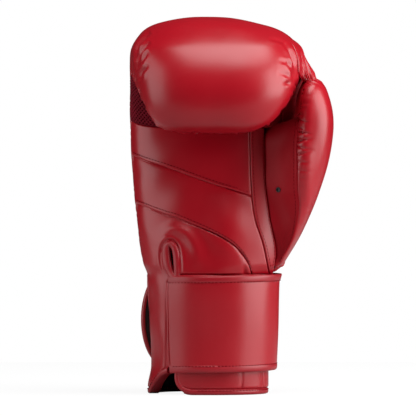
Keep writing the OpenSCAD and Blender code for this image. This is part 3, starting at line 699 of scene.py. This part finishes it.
# ---------------------------------------------------------------- gusset and web
# A narrow welt of leather, topstitched along both edges, joins the palm to a hollow web that
# reaches across to the thumb. One small metal eyelet airs the web.
GUSSET_ROLL, WEB_ROLL = 1.1, 1.3
gusset_z = lerp(cuff_h, CREASE, stations(120, 1.0, GUSSET_ROLL))[:, None]
gusset_t = stations(9, 0.6, GUSSET_ROLL)[None, :]
gusset_x = lerp(line_at(GUSSET_L, gusset_z), line_at(GUSSET_R, gusset_z), gusset_t)
gusset_a = palm_angle(gusset_z, gusset_x)
gusset = panel("gusset", lambda d: hand_pt(gusset_z, gusset_a, d), GUSSET_ROLL, red_leather, 0.7)
dress(gusset, "leather_red", "thumb_gusset")

thumb_hi = measure("thumb_shell")[1]
reach = thumb_hi[0]
THUMB = [  # height, x, y, outward, inward, forward, backward and squareness of its level sections
    [97, 45.0, -11, 8.0, 8, 8, 6, 2.0], [106, 48.5, -12, 10.0, 9, 14, 12, 2.0],
    [120, 54.5, -14, 12.0, 11, 20, 18, 2.1], [137, 60.0, -16, 14.5, 12, 24, 23, 2.2],
    [153, 64.0, -18, 17.0, 13, 26, 26, 2.3], [176, 69.5, -21, 18.8, 14, 28, 26, 2.3],
    [200, reach - 19, -23, 19.0, 13, 28, 26, 2.3], [216, reach - 18, -25, 18.0, 12, 26, 23, 2.2],
    [230, reach - 18, -26, 14.5, 10, 21, 18, 2.1], [239, reach - 18, -26, 9.5, 6, 14, 12, 2.0],
    [243, reach - 18, -25, 3.0, 3, 5, 4, 2.0]]
THUMB_BASE, THUMB_TIP, THUMB_BACK = 97.5, 243, -80  # its heights, and its back seam's angle
FRONT_SEAM = [[97, 60], [114, 55], [132, 69], [153, 90], [176, 113], [195, 130], [243, 136]]


def tube_pt(z, b, d=0):
    """Points of the thumb at height z and angle b round it: 0 is outward and 90 is forward."""
    z, b, d = np.broadcast_arrays(np.asarray(z, float), np.radians(b), np.asarray(d, float))
    _, cx, cy, outward, inward, forward, backward, square = np.moveaxis(row_at(THUMB, z), -1, 0)
    k = 2 / square
    x = np.maximum(np.where(np.cos(b) > 0, outward, inward) - d, 0.5)
    y = np.maximum(np.where(np.sin(b) > 0, forward, backward) - d, 0.5)
    return np.stack([cx + x * power(np.cos(b), k), cy - y * power(np.sin(b), k), z], -1)


def front_b(z):
    return line_at(FRONT_SEAM, z)


def web_pt(z, t, d=0):
    """Points of the web: t is 0 at the thumb's front seam and 1 at the gusset."""
    z, t = np.broadcast_arrays(np.asarray(z, float), t)
    first = tube_pt(z, front_b(z), d)
    last = hand_pt(z, palm_angle(z, line_at(GUSSET_R, z)), d)
    point = lerp(first, last, t[..., None])
    rolled = 9 * np.maximum(0, (z - 196) / 16) ** 2.2  # its upper end rolls back over the crotch
    point[..., 1] += 3.5 * np.sin(math.pi * t) * smooth((z - 100) / 50) + rolled
    return point


EYELET_Z, EYELET_T = 157.0, 0.6
web_z = lerp(THUMB_BASE + 0.5, CREASE, stations(114, 0.9, WEB_ROLL))[:, None]
web_t = stations(24, 0.8, WEB_ROLL)[None, :]
web_face = web_pt(web_z, web_t)
web_lift = 0.5 * lumps(web_face, 26, 21) * smooth((web_t - 0.1) / 0.3)
hole = np.linalg.norm(web_face - web_pt(EYELET_Z, EYELET_T), axis=-1)
web_lift -= 1.2 * smooth((2.2 - hole) / 0.9)
# The web takes the darker copy of the leather as painted shade under the mitt's overhang.
web = panel("thumb_web_skin", lambda d: web_pt(web_z, web_t, d), WEB_ROLL, dull_painted_shade_leather, web_lift)
dress(web, "leather_red", "thumb_web")

welt_z = np.linspace(96, 210, 200)
stitching("gusset_stitching", [
    lambda d, side=side, edge=edge: hand_pt(
        welt_z, palm_angle(welt_z, line_at(edge, welt_z) + side), d - 0.75)
    for side, edge in ((1.7, GUSSET_L), (-1.5, GUSSET_R))])


def black_metal(name):
    """Black lacquered metal, a little worn on its rim."""
    made = Finish(name)
    wear = made.texture("Noise", Scale=700.0, Detail=3.0)
    return made.coated({
        "Base Color": made.mix(wear, grey(0.008), (0.03, 0.028, 0.028, 1)),
        "Metallic": 0.3, "Roughness": wear * 0.25 + 0.4})


def round_ring(count):
    """Angles of the points of a ring."""
    return np.linspace(0, 2 * math.pi, count, endpoint=False)


# The eyelet is a rolled rim round a dark cup: radius and height of each ring of points
EYELET = [(2.2, -0.6), (2.0, -0.4), (2.0, 0.0), (1.85, 0.2), (1.6, 0.22), (1.4, 0.05), (1.3, -0.4),
          (1.25, -0.95), (0, -0.95)]
ROUND = 32  # points in a ring
centre = web_pt(EYELET_Z, EYELET_T)
beside = unit(web_pt(EYELET_Z, EYELET_T + 0.1) - centre)
up = np.array([-beside[1], beside[0], 0]) * (-1 if beside[0] > 0 else 1)
third = np.cross(up, beside)
cup = np.array([
    [centre + (beside * math.cos(b) + third * math.sin(b)) * r + up * (h + 0.3)
     for b in round_ring(ROUND)]
    for r, h in EYELET])
cup_faces = [
    [i * ROUND + j, i * ROUND + (j + 1) % ROUND, (i + 1) * ROUND + (j + 1) % ROUND, (i + 1) * ROUND + j]
    for i in range(len(cup) - 1) for j in range(ROUND)]
eyelet = body_piece("eyelet", cup.reshape(-1, 3), cup_faces, black_metal("black_lacquer"))
dress(eyelet, "eyelet_black", "vent_eyelet")


# ---------------------------------------------------------------- thumb
# The thumb's outside is a padded piece of leather, gathered along the seam that joins it to the
# web. A plain panel faces the fist, and a pleated strap of leather ties the tip to the mitt.
THUMB_ROLL, INSIDE_ROLL, TIE_ROLL = 2.4, 1.4, 1.0


def thumb_pt(z, t, d=0):
    """Points of the thumb's cover: t is 0 at its back edge and 1 at its front seam."""
    z, t = np.broadcast_arrays(np.asarray(z, float), t)
    own = smooth((z - CREASE + 6) / 6)[..., None]
    start = lerp(hand_pt(z, shell_edge(z), d), tube_pt(z, THUMB_BACK, d), own)
    return lerp(start, tube_pt(z, lerp(THUMB_BACK, front_b(z), t), d), smooth(t / 0.34)[..., None])


thumb_z = np.unique(np.concatenate([
    lerp(THUMB_BASE, THUMB_TIP, stations(150, 0.85, THUMB_ROLL)), np.linspace(232, THUMB_TIP, 26)]))[:, None]
thumb_t = stations(78, 0.8, THUMB_ROLL)[None, :]
thumb = thumb_pt(thumb_z, thumb_t)
from_back, climbed = run(thumb, 1), run(thumb, 0)
to_seam, to_tip = from_back[:, -1:] - from_back, climbed[-1:] - climbed
tall = thumb_z + 0 * thumb_t
gathered = 0.9 * hump(tall, 196, 18) + 0.08
thumb_lift = 0.4 * lumps(thumb, 40, 31)
thumb_lift += 1.6 * hump(to_seam, 7.5, 6) * smooth((tall - 120) / 40) * smooth((241 - tall) / 12)
thumb_lift += gathers(tall, to_seam, 32, 4.4, 10, 1.7, 0.75, 4) * gathered
thumb_lift += gathers(tall, to_seam, 36, 2.8, 6, 1.9, 0.8) * hump(tall, 232, 10)
thumb_lift += gathers(tall, from_back, 33, 8, 9, 0.8) * smooth((tall - 190) / 20)
thumb_lift += gathers(from_back, to_tip, 34, 4.2, 20, 1.5, 1.2) * smooth((tall - 222) / 10)
thumb_cover = panel(
    "thumb_cover", lambda d: thumb_pt(thumb_z, thumb_t, d), THUMB_ROLL, red_leather, thumb_lift)
dress(thumb_cover, "leather_red", "thumb_shell", "thumb_foam", fill=0.9)

inner_u = stations(52, 0.9, INSIDE_ROLL)[None, :]
inner_z = lerp(THUMB_TIP - 0.3, CREASE + 2.5, stations(28, 0.9, INSIDE_ROLL))[:-1, None]
floor_w = np.linspace(0, 1, 22)[:, None]


def inside_pt(d=0):
    """Points of the face that looks at the fist and of the floor of the crotch below it."""
    face = tube_pt(inner_z, lerp(front_b(inner_z), 360 + THUMB_BACK, inner_u), d)
    near = tube_pt(CREASE + 0.3, lerp(front_b(CREASE + 0.3), 360 + THUMB_BACK, inner_u))
    first = palm_angle(CREASE, line_at(GUSSET_R, CREASE))
    far = hand_pt(CREASE - 0.3 - 5 * inner_u**6, lerp(first, shell_edge(CREASE - 4) + 1, inner_u), 0.5)
    ground = lerp(near, far, floor_w[..., None])
    ground[..., 1] += 3.5 * (1 - inner_u) * np.sin(math.pi * floor_w) + 9 * (1 - smooth(inner_u * 2.5))
    ground[..., 2] -= 3.5 * np.sin(math.pi * inner_u) * np.sin(math.pi * floor_w) + d
    return np.concatenate([face, ground])


# The thumb's face towards the fist and the crotch floor take the darker copy as painted shade.
thumb_inside = panel("thumb_inside", inside_pt, INSIDE_ROLL, dull_painted_shade_leather, 0.4 * lumps(inside_pt(), 22, 35))
dress(thumb_inside, "leather_red", "thumb_inner")


LEAVES_MITT = 0.6  # part of the tie's length that lies on the mitt


def tie_pt(v, w, d=0):
    """Points of the tie between mitt (v 0) and thumb (v 1); w runs across it."""
    v, w = np.broadcast_arrays(v, w)
    on = np.minimum(v / LEAVES_MITT, 1)
    off = np.maximum(0, (v - LEAVES_MITT) / (1 - LEAVES_MITT))
    out = 1.2 - d - 2.2 * (1 - smooth(v / 0.5)) - 1.5 * smooth((v - 0.88) / 0.12)
    s = lerp(lerp(244, 265, w), lerp(247, 286, w**1.3), on)
    a = lerp(lerp(66, 53, w), lerp(84, 80, w), on)
    on_thumb = tube_pt(241 - 4 * w**3, lerp(-75, 158, w), 2.2 - out)
    off = off[..., None] * (1 - 0.25 * (1 - off[..., None]))
    return lerp(hand_pt(s, a, -out), on_thumb, off)


tie_v, tie_w = stations(34, 0.6, TIE_ROLL)[:, None], stations(30, 0.28, TIE_ROLL)[None, :]
pleats = 0.5 * np.cos(2 * math.pi * (tie_w * 13 + 0.3 * np.sin(tie_v * 5 + 9 * tie_w)))
pleats = pleats * smooth((tie_v - 0.3) / 0.35) * smooth((0.93 - tie_w) / 0.1)
pleats = pleats + 0.6 * np.cos(2 * math.pi * (tie_w * 3.2 + 0.1)) * smooth(tie_v / 0.5)
thumb_tie = panel("thumb_tie", lambda d: tie_pt(tie_v, tie_w, d), TIE_ROLL, red_leather, pleats, thick=0.3)
dress(thumb_tie, "leather_red", "thumb_lock")

sewn_z = np.linspace(101, 236, 220)
sewn_z = sewn_z[sewn_z < 209]  # the seam's stitches end below the crotch
stitching("thumb_stitching", [lambda d: web_pt(sewn_z, 0.09, d)])


# ---------------------------------------------------------------- cuff
# The cuff is leather over a thin foam wall, lined with black cloth and open at a slit. One tape is
# folded over its hem and another over the edges of the slit.
CUFF_ROLL = 1.5
cuff_t = stations(88, 1.1, CUFF_ROLL)[:, None]
cuff_k = stations(210, 1.1, CUFF_ROLL)[None, :]
slit_edges = [palm_angle(20.0, x) for x in SLIT]  # their angles low on the cuff
cuff_hem = hem_z(lerp(-SEAM, slit_edges[1], cuff_k))
cuff_z = lerp(cuff_hem, cuff_h, cuff_t)
cuff_a = lerp(-SEAM, palm_angle(cuff_z, SLIT[1]), cuff_k)
cuff_face = hand_pt(cuff_z, cuff_a)
cuff_lift = 0.4 * lumps(cuff_face, 40, 41)
for place in (22.0, 38.6):  # upright seams under the strap, on the palm side
    cuff_lift -= 0.7 * hump(cuff_face[..., 0], place, 0.8) * (cuff_face[..., 1] < 0)
cuff = panel(
    "cuff_skin", lambda d: waist(hand_pt(cuff_z, cuff_a, d)), CUFF_ROLL, red_leather, cuff_lift)
dress(cuff, "leather_red", "cuff_cover", "cuff_foam", fill=0.6)

binding_leather = leather("binding_leather", (0.26, 0.0028, 0.0090), 0.4, 0.7)


def tape(name, rings, node, body="glove"):
    """A folded tape with flat ends, swept through rings of points that run the right way round."""
    n, m = rings.shape[:2]
    i, j = np.meshgrid(np.arange(n - 1), np.arange(m), indexing="ij")
    a, b = i * m + j, i * m + (j + 1) % m
    sides = np.stack([a, b, b + m, a + m], -1).reshape(-1, 4).tolist()
    ends = [list(range(m))[::-1], [(n - 1) * m + k for k in range(m)]]
    piece = body_piece(name, rings.reshape(-1, 3), sides + ends, binding_leather, body, sharp=60)
    dress(piece, "binding_red", node)
    return piece


WALL = 7.6  # thickness of the cuff's wall
hem_a = np.linspace(palm_angle(16.0, SLIT[0] + 1.5) - 359.2, lerp(*CORNER, 0.5), 240)
section_t = round_ring(20)
section_d = WALL / 2 + 0.1 + (WALL / 2 + 0.75) * power(np.cos(section_t), 0.55)
section_h = np.maximum(BINDING / 2 - 0.2 + (BINDING / 2 + 0.15) * power(np.sin(section_t), 0.7), 0)
ripple = 0.12 * lumps(np.stack([hem_a, 0 * hem_a, 0 * hem_a], -1) * 0.8, 14, 42)
tape("hem_tape", np.stack([
    hand_pt(hem_z(a) - BINDING + 0.3 + section_h, a, section_d - r * (section_d < 2))
    for a, r in zip(hem_a, ripple)]), "hem_binding")

# Places of the slit's tape, which ends on the strap's upper rim: x, height, half width and depth
SLIT_LINE = [
    [-17.5, 2.7, 2.2, 0.3], [-22.0, 3.9, 2.1, 0.3], [-25.6, 6.8, 2.0, 0.4], [-27.7, 11.5, 1.9, 0.4],
    [-28.2, 20, 1.7, 0.7], [-28.2, 60, 1.6, 0.9], [-28.0, 84, 1.9, 0.7], [-27.8, 92, 2.4, 0.3],
    [-27.8, 100, 2.7, 0.2], [-28.6, 108, 2.7, 0.2], [-30.4, 113.3, 2.4, 0.2], [-33.0, 115.4, 2.2, 0.2],
    [-35.4, 114.0, 2.4, 0.2], [-36.5, 110.5, 2.8, 0.2], [-36.5, 105, 3.1, 0.2], [-35.3, 98.5, 3.1, 0.1],
    [-33.0, 93.2, 2.9, 0.0], [-30.2, 90.0, 2.7, -0.35], [-27.0, 88.5, 2.6, -0.5], [-23.0, 88.1, 2.4, 0.5]]
slit_line = curve(SLIT_LINE, 130)
slit_way = unit(np.gradient(slit_line[:, :2], axis=0))
ring_t = round_ring(16)
slit_rings = []
for (x, z, half, deep), (wx, wz) in zip(slit_line, slit_way):
    across = half * power(np.cos(ring_t), 0.8)
    px, pz = x - wz * across, z + wx * across
    slit_rings.append(hand_pt(pz, palm_angle(pz, px), deep + 1.1 - 2.4 * power(np.sin(ring_t), 0.8)))
tape("slit_tape", np.array(slit_rings)[::-1], "slit_binding")
stitching("cuff_stitching", [lambda d: hand_pt(hem_z(hem_a) - 1.1, hem_a, d - 0.66)[8:-8]])


# ---------------------------------------------------------------- linings
# Black polyester cloth, sewn in at the cuff's hem and slit, lines the cuff, the hand and the
# thumb's stall.
WEAVE = 1500.0  # fineness of the cloth's threads


def cloth(name, colour):
    """Plain woven cloth with a faint sheen."""
    made = Finish(name)
    warp = made.texture("Wave", {"bands_direction": "Z"}, Scale=WEAVE / 6)
    fuzz = made.texture("Noise", Scale=WEAVE, Detail=2.0)
    bumps = made.bumps(warp * 0.5 + fuzz, 0.5, 0.0002)
    return made.coated({
        "Base Color": made.mix(fuzz, tint(colour, 0.7), tint(colour, 1.3)),
        "Roughness": fuzz * 0.2 + 0.65, "Normal": bumps, "Sheen Weight": 0.2})


black_cloth = cloth("black_cloth", (0.012, 0.011, 0.011))
LINING = 0.9  # thickness of the cloth


def sheet_piece(name, outer, inner, finish, body="glove"):
    """A piece that fills the space between two grids."""
    points, faces, _ = closed_sheet(outer, inner, normals(outer, inner)[1])
    return body_piece(name, points, faces, finish, body)


def lining(name, shape, depth, node):
    """A cloth lining at a depth below a shape."""
    outer = shape(depth)
    piece = sheet_piece(name, outer, shape(depth + LINING), black_cloth)
    dress(piece, "lining_black", node)


# At both edges of the slit the cuff's lining turns out through its wall, to meet the tape
cuff_k = np.concatenate([[0] * 5, np.linspace(0, 1, 150), [1] * 5])[None, :]
cuff_end = np.concatenate([np.linspace(6, 0, 6)[:-1], [0] * 150, np.linspace(0, 6, 6)[1:]])[None, :]
line_hem = hem_z(lerp(slit_edges[0] - 360, slit_edges[1], cuff_k)) + 0.2
line_z = lerp(line_hem, cuff_h - 0.5, np.linspace(0, 1, 60)[:, None])
line_a = lerp(palm_angle(line_z, SLIT[0]) - 360 + 0.8, palm_angle(line_z, SLIT[1]) - 0.8, cuff_k)
line_d = 8.0 - cuff_end + 0.25 * lumps(hand_pt(line_z, line_a), 18, 51)
lining("cuff_lining_cloth", lambda d: hand_pt(line_z, line_a, d), line_d, "cuff_lining")


def foam_depth(s, a):
    """Depth of the inner face of the mitt's foam."""
    full = lerp(7, 24, smooth((s - 100) / 90)) * lerp(1, 0.1, smooth((s - 294) / 26))
    return 2.2 + lerp(full, np.minimum(full, 9), np.abs(np.sin(np.radians(a))) ** 3)


hand_s = np.linspace(cuff_h + 1, 286, 110)[:, None]
hand_open = 15 * smooth((hand_s - 104) / 20) * smooth((204 - hand_s) / 20)
hand_a = lerp(SEAM + 0.3 + hand_open, 360 + SEAM - 0.3 - hand_open, np.linspace(0, 1, 130)[None, :])
hand_turn = np.abs(np.where(hand_a > 180, hand_a - 360, hand_a))
hand_d = lerp(foam_depth(hand_s, np.minimum(hand_turn, 90)) + 1.8, 6.2 + 6.5 * smooth((hand_s - 206) / 14),
              smooth((hand_turn - 97) / 16))
lining("hand_lining_cloth", lambda d: hand_pt(hand_s, hand_a, d), hand_d, "hand_lining")

stall_z = np.linspace(122, 228, 60)[:, None]
stall_open = 62 * smooth((190 - stall_z) / 20)
stall_b = lerp(-178 + stall_open, 178 - stall_open, np.linspace(0, 1, 80)[None, :])
stall_d = 3.2 + 7 * smooth((124 - np.abs(stall_b - 18)) / 44)
lining("thumb_lining_cloth", lambda d: tube_pt(stall_z, stall_b, d), stall_d,
       "thumb_lining")


# ---------------------------------------------------------------- wrist strap
# A strap of leather backed with black cloth is sewn on beside the slit, crosses the palm side and
# the thumb side, and sticks to the cuff's back with hook and loop tape. Its edges are bound with
# folded tape and its loose end is a round tab.
STRAP_H = 68  # height between the middles of its two rims
STRAP_T = 3.2
RIM_H = 3.0  # half height of a rim
STRAP_Z = measure("strap_palm_cover")[0][2] + STRAP_H / 2 - RIM_H
SEWN = float(palm_angle(50.0, -34.6))  # angle of the seam that sews it on
BEND_1, BEND_2, LEAVES = 128, 50, -32  # angles at which it bends, and at which its tab leaves the cuff
TAB_END, TAB_ROUND = LEAVES - 22.5, 17


def strap_z(a):
    """Height of the strap's middle at an angle. It climbs a little as it goes round."""
    return STRAP_Z + 0.0125 * (SEWN - a)


def strap_pt(a, h, e=0):
    """Points of the strap: angle a round the cuff, height h above its middle and depth e below its
    face. Past the place where it leaves the cuff it runs straight on, a millimetre for a degree."""
    a, h, e = np.broadcast_arrays(np.asarray(a, float), h, e)
    a = a + 0.08 * h * smooth((a - SEWN + 14) / 12)  # its seam leans
    on = np.maximum(a, LEAVES)
    z = strap_z(on) + h
    gap = lerp(lerp(0.3, 1.7, smooth((SEWN - on) / 40)), 3.6, smooth((BEND_1 - on) / 60))
    thin = lerp(0.3, 1, smooth((SEWN - on) / 40))
    d = (e - STRAP_T) * thin - gap
    p, q = hand_pt(z, on, d), hand_pt(z, on - 2, d)
    return p + unit((q - p) * (1, 1, 0)) * (on - a)[..., None]


def rim_path(stretch, last):
    """Places along a stretch's edge as angle, height and turn of its tape."""
    if not last:
        return [[(a, side * STRAP_H / 2, 90 * side) for a in stretch] for side in (1, -1)]
    flat = [(a, STRAP_H / 2, 90) for a in stretch if a > TAB_END + TAB_ROUND]
    turn = [
        (TAB_END + TAB_ROUND * (1 - math.cos(math.radians(t))), STRAP_H / 2 * math.sin(math.radians(t)), t)
        for t in range(88, -1, -4)]
    upper = flat + turn
    return [upper + [(a, -h, -t) for a, h, t in upper[::-1][1:]]]


MIDDLES = ((SEWN + BEND_1) / 2, (BEND_1 + BEND_2) / 2)
BARE_HALF = STRAP_H / 2 - RIM_H  # half height of the strap between its rims
FACE_IN, BACK_IN = 1.2, 4.3  # how far its two faces run in under the rims
across = np.linspace(-1, 1, 60)[None, :]
ring_t = round_ring(18)
ring_r = RIM_H * power(np.cos(ring_t), 0.8)
ring_r = np.where(np.sin(ring_t) > 0.1, np.maximum(ring_r, RIM_H - 1.9), ring_r)
ring_e = STRAP_T / 2 + (STRAP_T / 2 + 0.5) * power(np.sin(ring_t), 0.6)

for name, a0, a1, bodies, bends in (
    ("strap_root", SEWN, MIDDLES[0], ("glove", "strap_palm"), (SEWN, SEWN - 9)),
    ("strap_middle", *MIDDLES, ("strap_palm", "strap_side"), (BEND_1 + 11, BEND_1 - 11)),
    ("strap_end", MIDDLES[1], TAB_END, ("strap_side", "strap_back"), (BEND_2 + 11, BEND_2 - 11)),
):
    last = name == "strap_end"
    node = bodies[1]
    stretch = np.linspace(a0, a1 + RIM_H * 0.5 * last, 110)
    rounded = np.clip((TAB_END + TAB_ROUND - stretch) / (TAB_ROUND - RIM_H * 0.4), 0, 1)
    half = (BARE_HALF + FACE_IN) * np.sqrt(np.clip(1 - rounded**2, 0.02, 1))
    grid_a, grid_h = stretch[:, None], across * half[:, None]
    face = strap_pt(grid_a, grid_h)
    normal = normals(face, strap_pt(grid_a, grid_h, 1))[0]
    lift = 0.32 * lumps(face * (1, 1, 0.5), 44, 61) - 0.9 * hump(grid_a, SEWN, 1.6)
    cover = sheet_piece(
        name + "_face", face + normal * lift[..., None], strap_pt(grid_a, grid_h, 1.25), red_leather, None)
    dress(cover, "leather_red", node + "_cover")

    # The backing starts after the strap's seam and runs on past the tab's face
    back_a = grid_a - 3.1 * last * smooth((grid_a[0] - grid_a) / 60 - 0.6)
    back_a = back_a - (6 * (1 - (grid_a[0] - grid_a) / (a0 - a1)) if name == "strap_root" else 0)
    back_h = grid_h * (BARE_HALF + BACK_IN) / (BARE_HALF + FACE_IN)
    backing = sheet_piece(
        name + "_backing", strap_pt(back_a, back_h, 1.3), strap_pt(back_a, back_h, STRAP_T),
        black_cloth, None)
    dress(backing, "lining_black", node + "_backing")
    parts = [cover, backing]

    for i, path in enumerate(rim_path(np.linspace(a0, a1, 90), last)):
        turned = [(a, h, math.cos(math.radians(t)), math.sin(math.radians(t))) for a, h, t in path]
        rings = np.array([
            strap_pt(a - ring_r * c, h + ring_r * s, ring_e)
            for a, h, c, s in turned if a < SEWN - 4 * (h > 0)])
        parts.append(tape(
            f"{name}_rim_{i}", rings if i == 0 else rings[::-1], node + ("_rim" if last else "_rims"), None))
        inside = RIM_H - 0.9
        line = np.array([(a + inside * c, h - inside * s) for a, h, c, s in turned if a < SEWN - 4])
        parts.append(stitching(f"{name}_stitching_{i}", [
            lambda d, line=line: strap_pt(line[:, 0], line[:, 1], d - 0.35)], None))

    # Points on the strap's middle a little way either side of the joint between its two bodies; each part's
    # placing is baked into its points
    start, end = [tuple(strap_pt(a, 0.0, STRAP_T / 2) * MM) for a in bends]
    for part in parts:
        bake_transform(part)


def touch_tape(name, colour, size):
    """Hook or loop tape: a dense pile of stiff nylon."""
    made = Finish(name)
    pile = made.texture("Voronoi", Scale=size)
    bumps = made.bumps(pile, 0.9, 0.0005)
    return made.coated({
        "Base Color": made.mix(pile, tint(colour, 1.8), tint(colour)),
        "Roughness": pile * 0.3 + 0.55, "Normal": bumps, "Sheen Weight": 0.3})


TAPE_GRID = (120, 70)  # points along and across a tape
hook_a = np.linspace(22, TAB_END + 8, TAPE_GRID[0])[:, None]
hook_half = 24 * np.sqrt(np.maximum(0.2, 1 - np.maximum(0, (TAB_END + 20 - hook_a) / 14) ** 2))
hook_h = np.linspace(-1, 1, TAPE_GRID[1])[None, :] * hook_half
pile = 0.18 * np.random.default_rng(71).random(TAPE_GRID)
hook = sheet_piece(
    "hook_tape", strap_pt(hook_a, hook_h, STRAP_T + 0.05), strap_pt(hook_a, hook_h, STRAP_T + 0.95 + pile),
    touch_tape("black_hooks", (0.009, 0.009, 0.009), 900.0), "strap_back")
dress(hook, "hook_tape", "hook_patch")

loop_a = np.linspace(44, LEAVES + 2, TAPE_GRID[0])[:, None]
loop_z = strap_z(loop_a) + np.linspace(-27, 27, TAPE_GRID[1])[None, :]
loop = sheet_piece(
    "loop_tape", hand_pt(loop_z, loop_a, -1.55 - pile), hand_pt(loop_z, loop_a, 0.1),
    touch_tape("black_loops", (0.012, 0.012, 0.012), 600.0))
dress(loop, "loop_tape", "loop_patch")
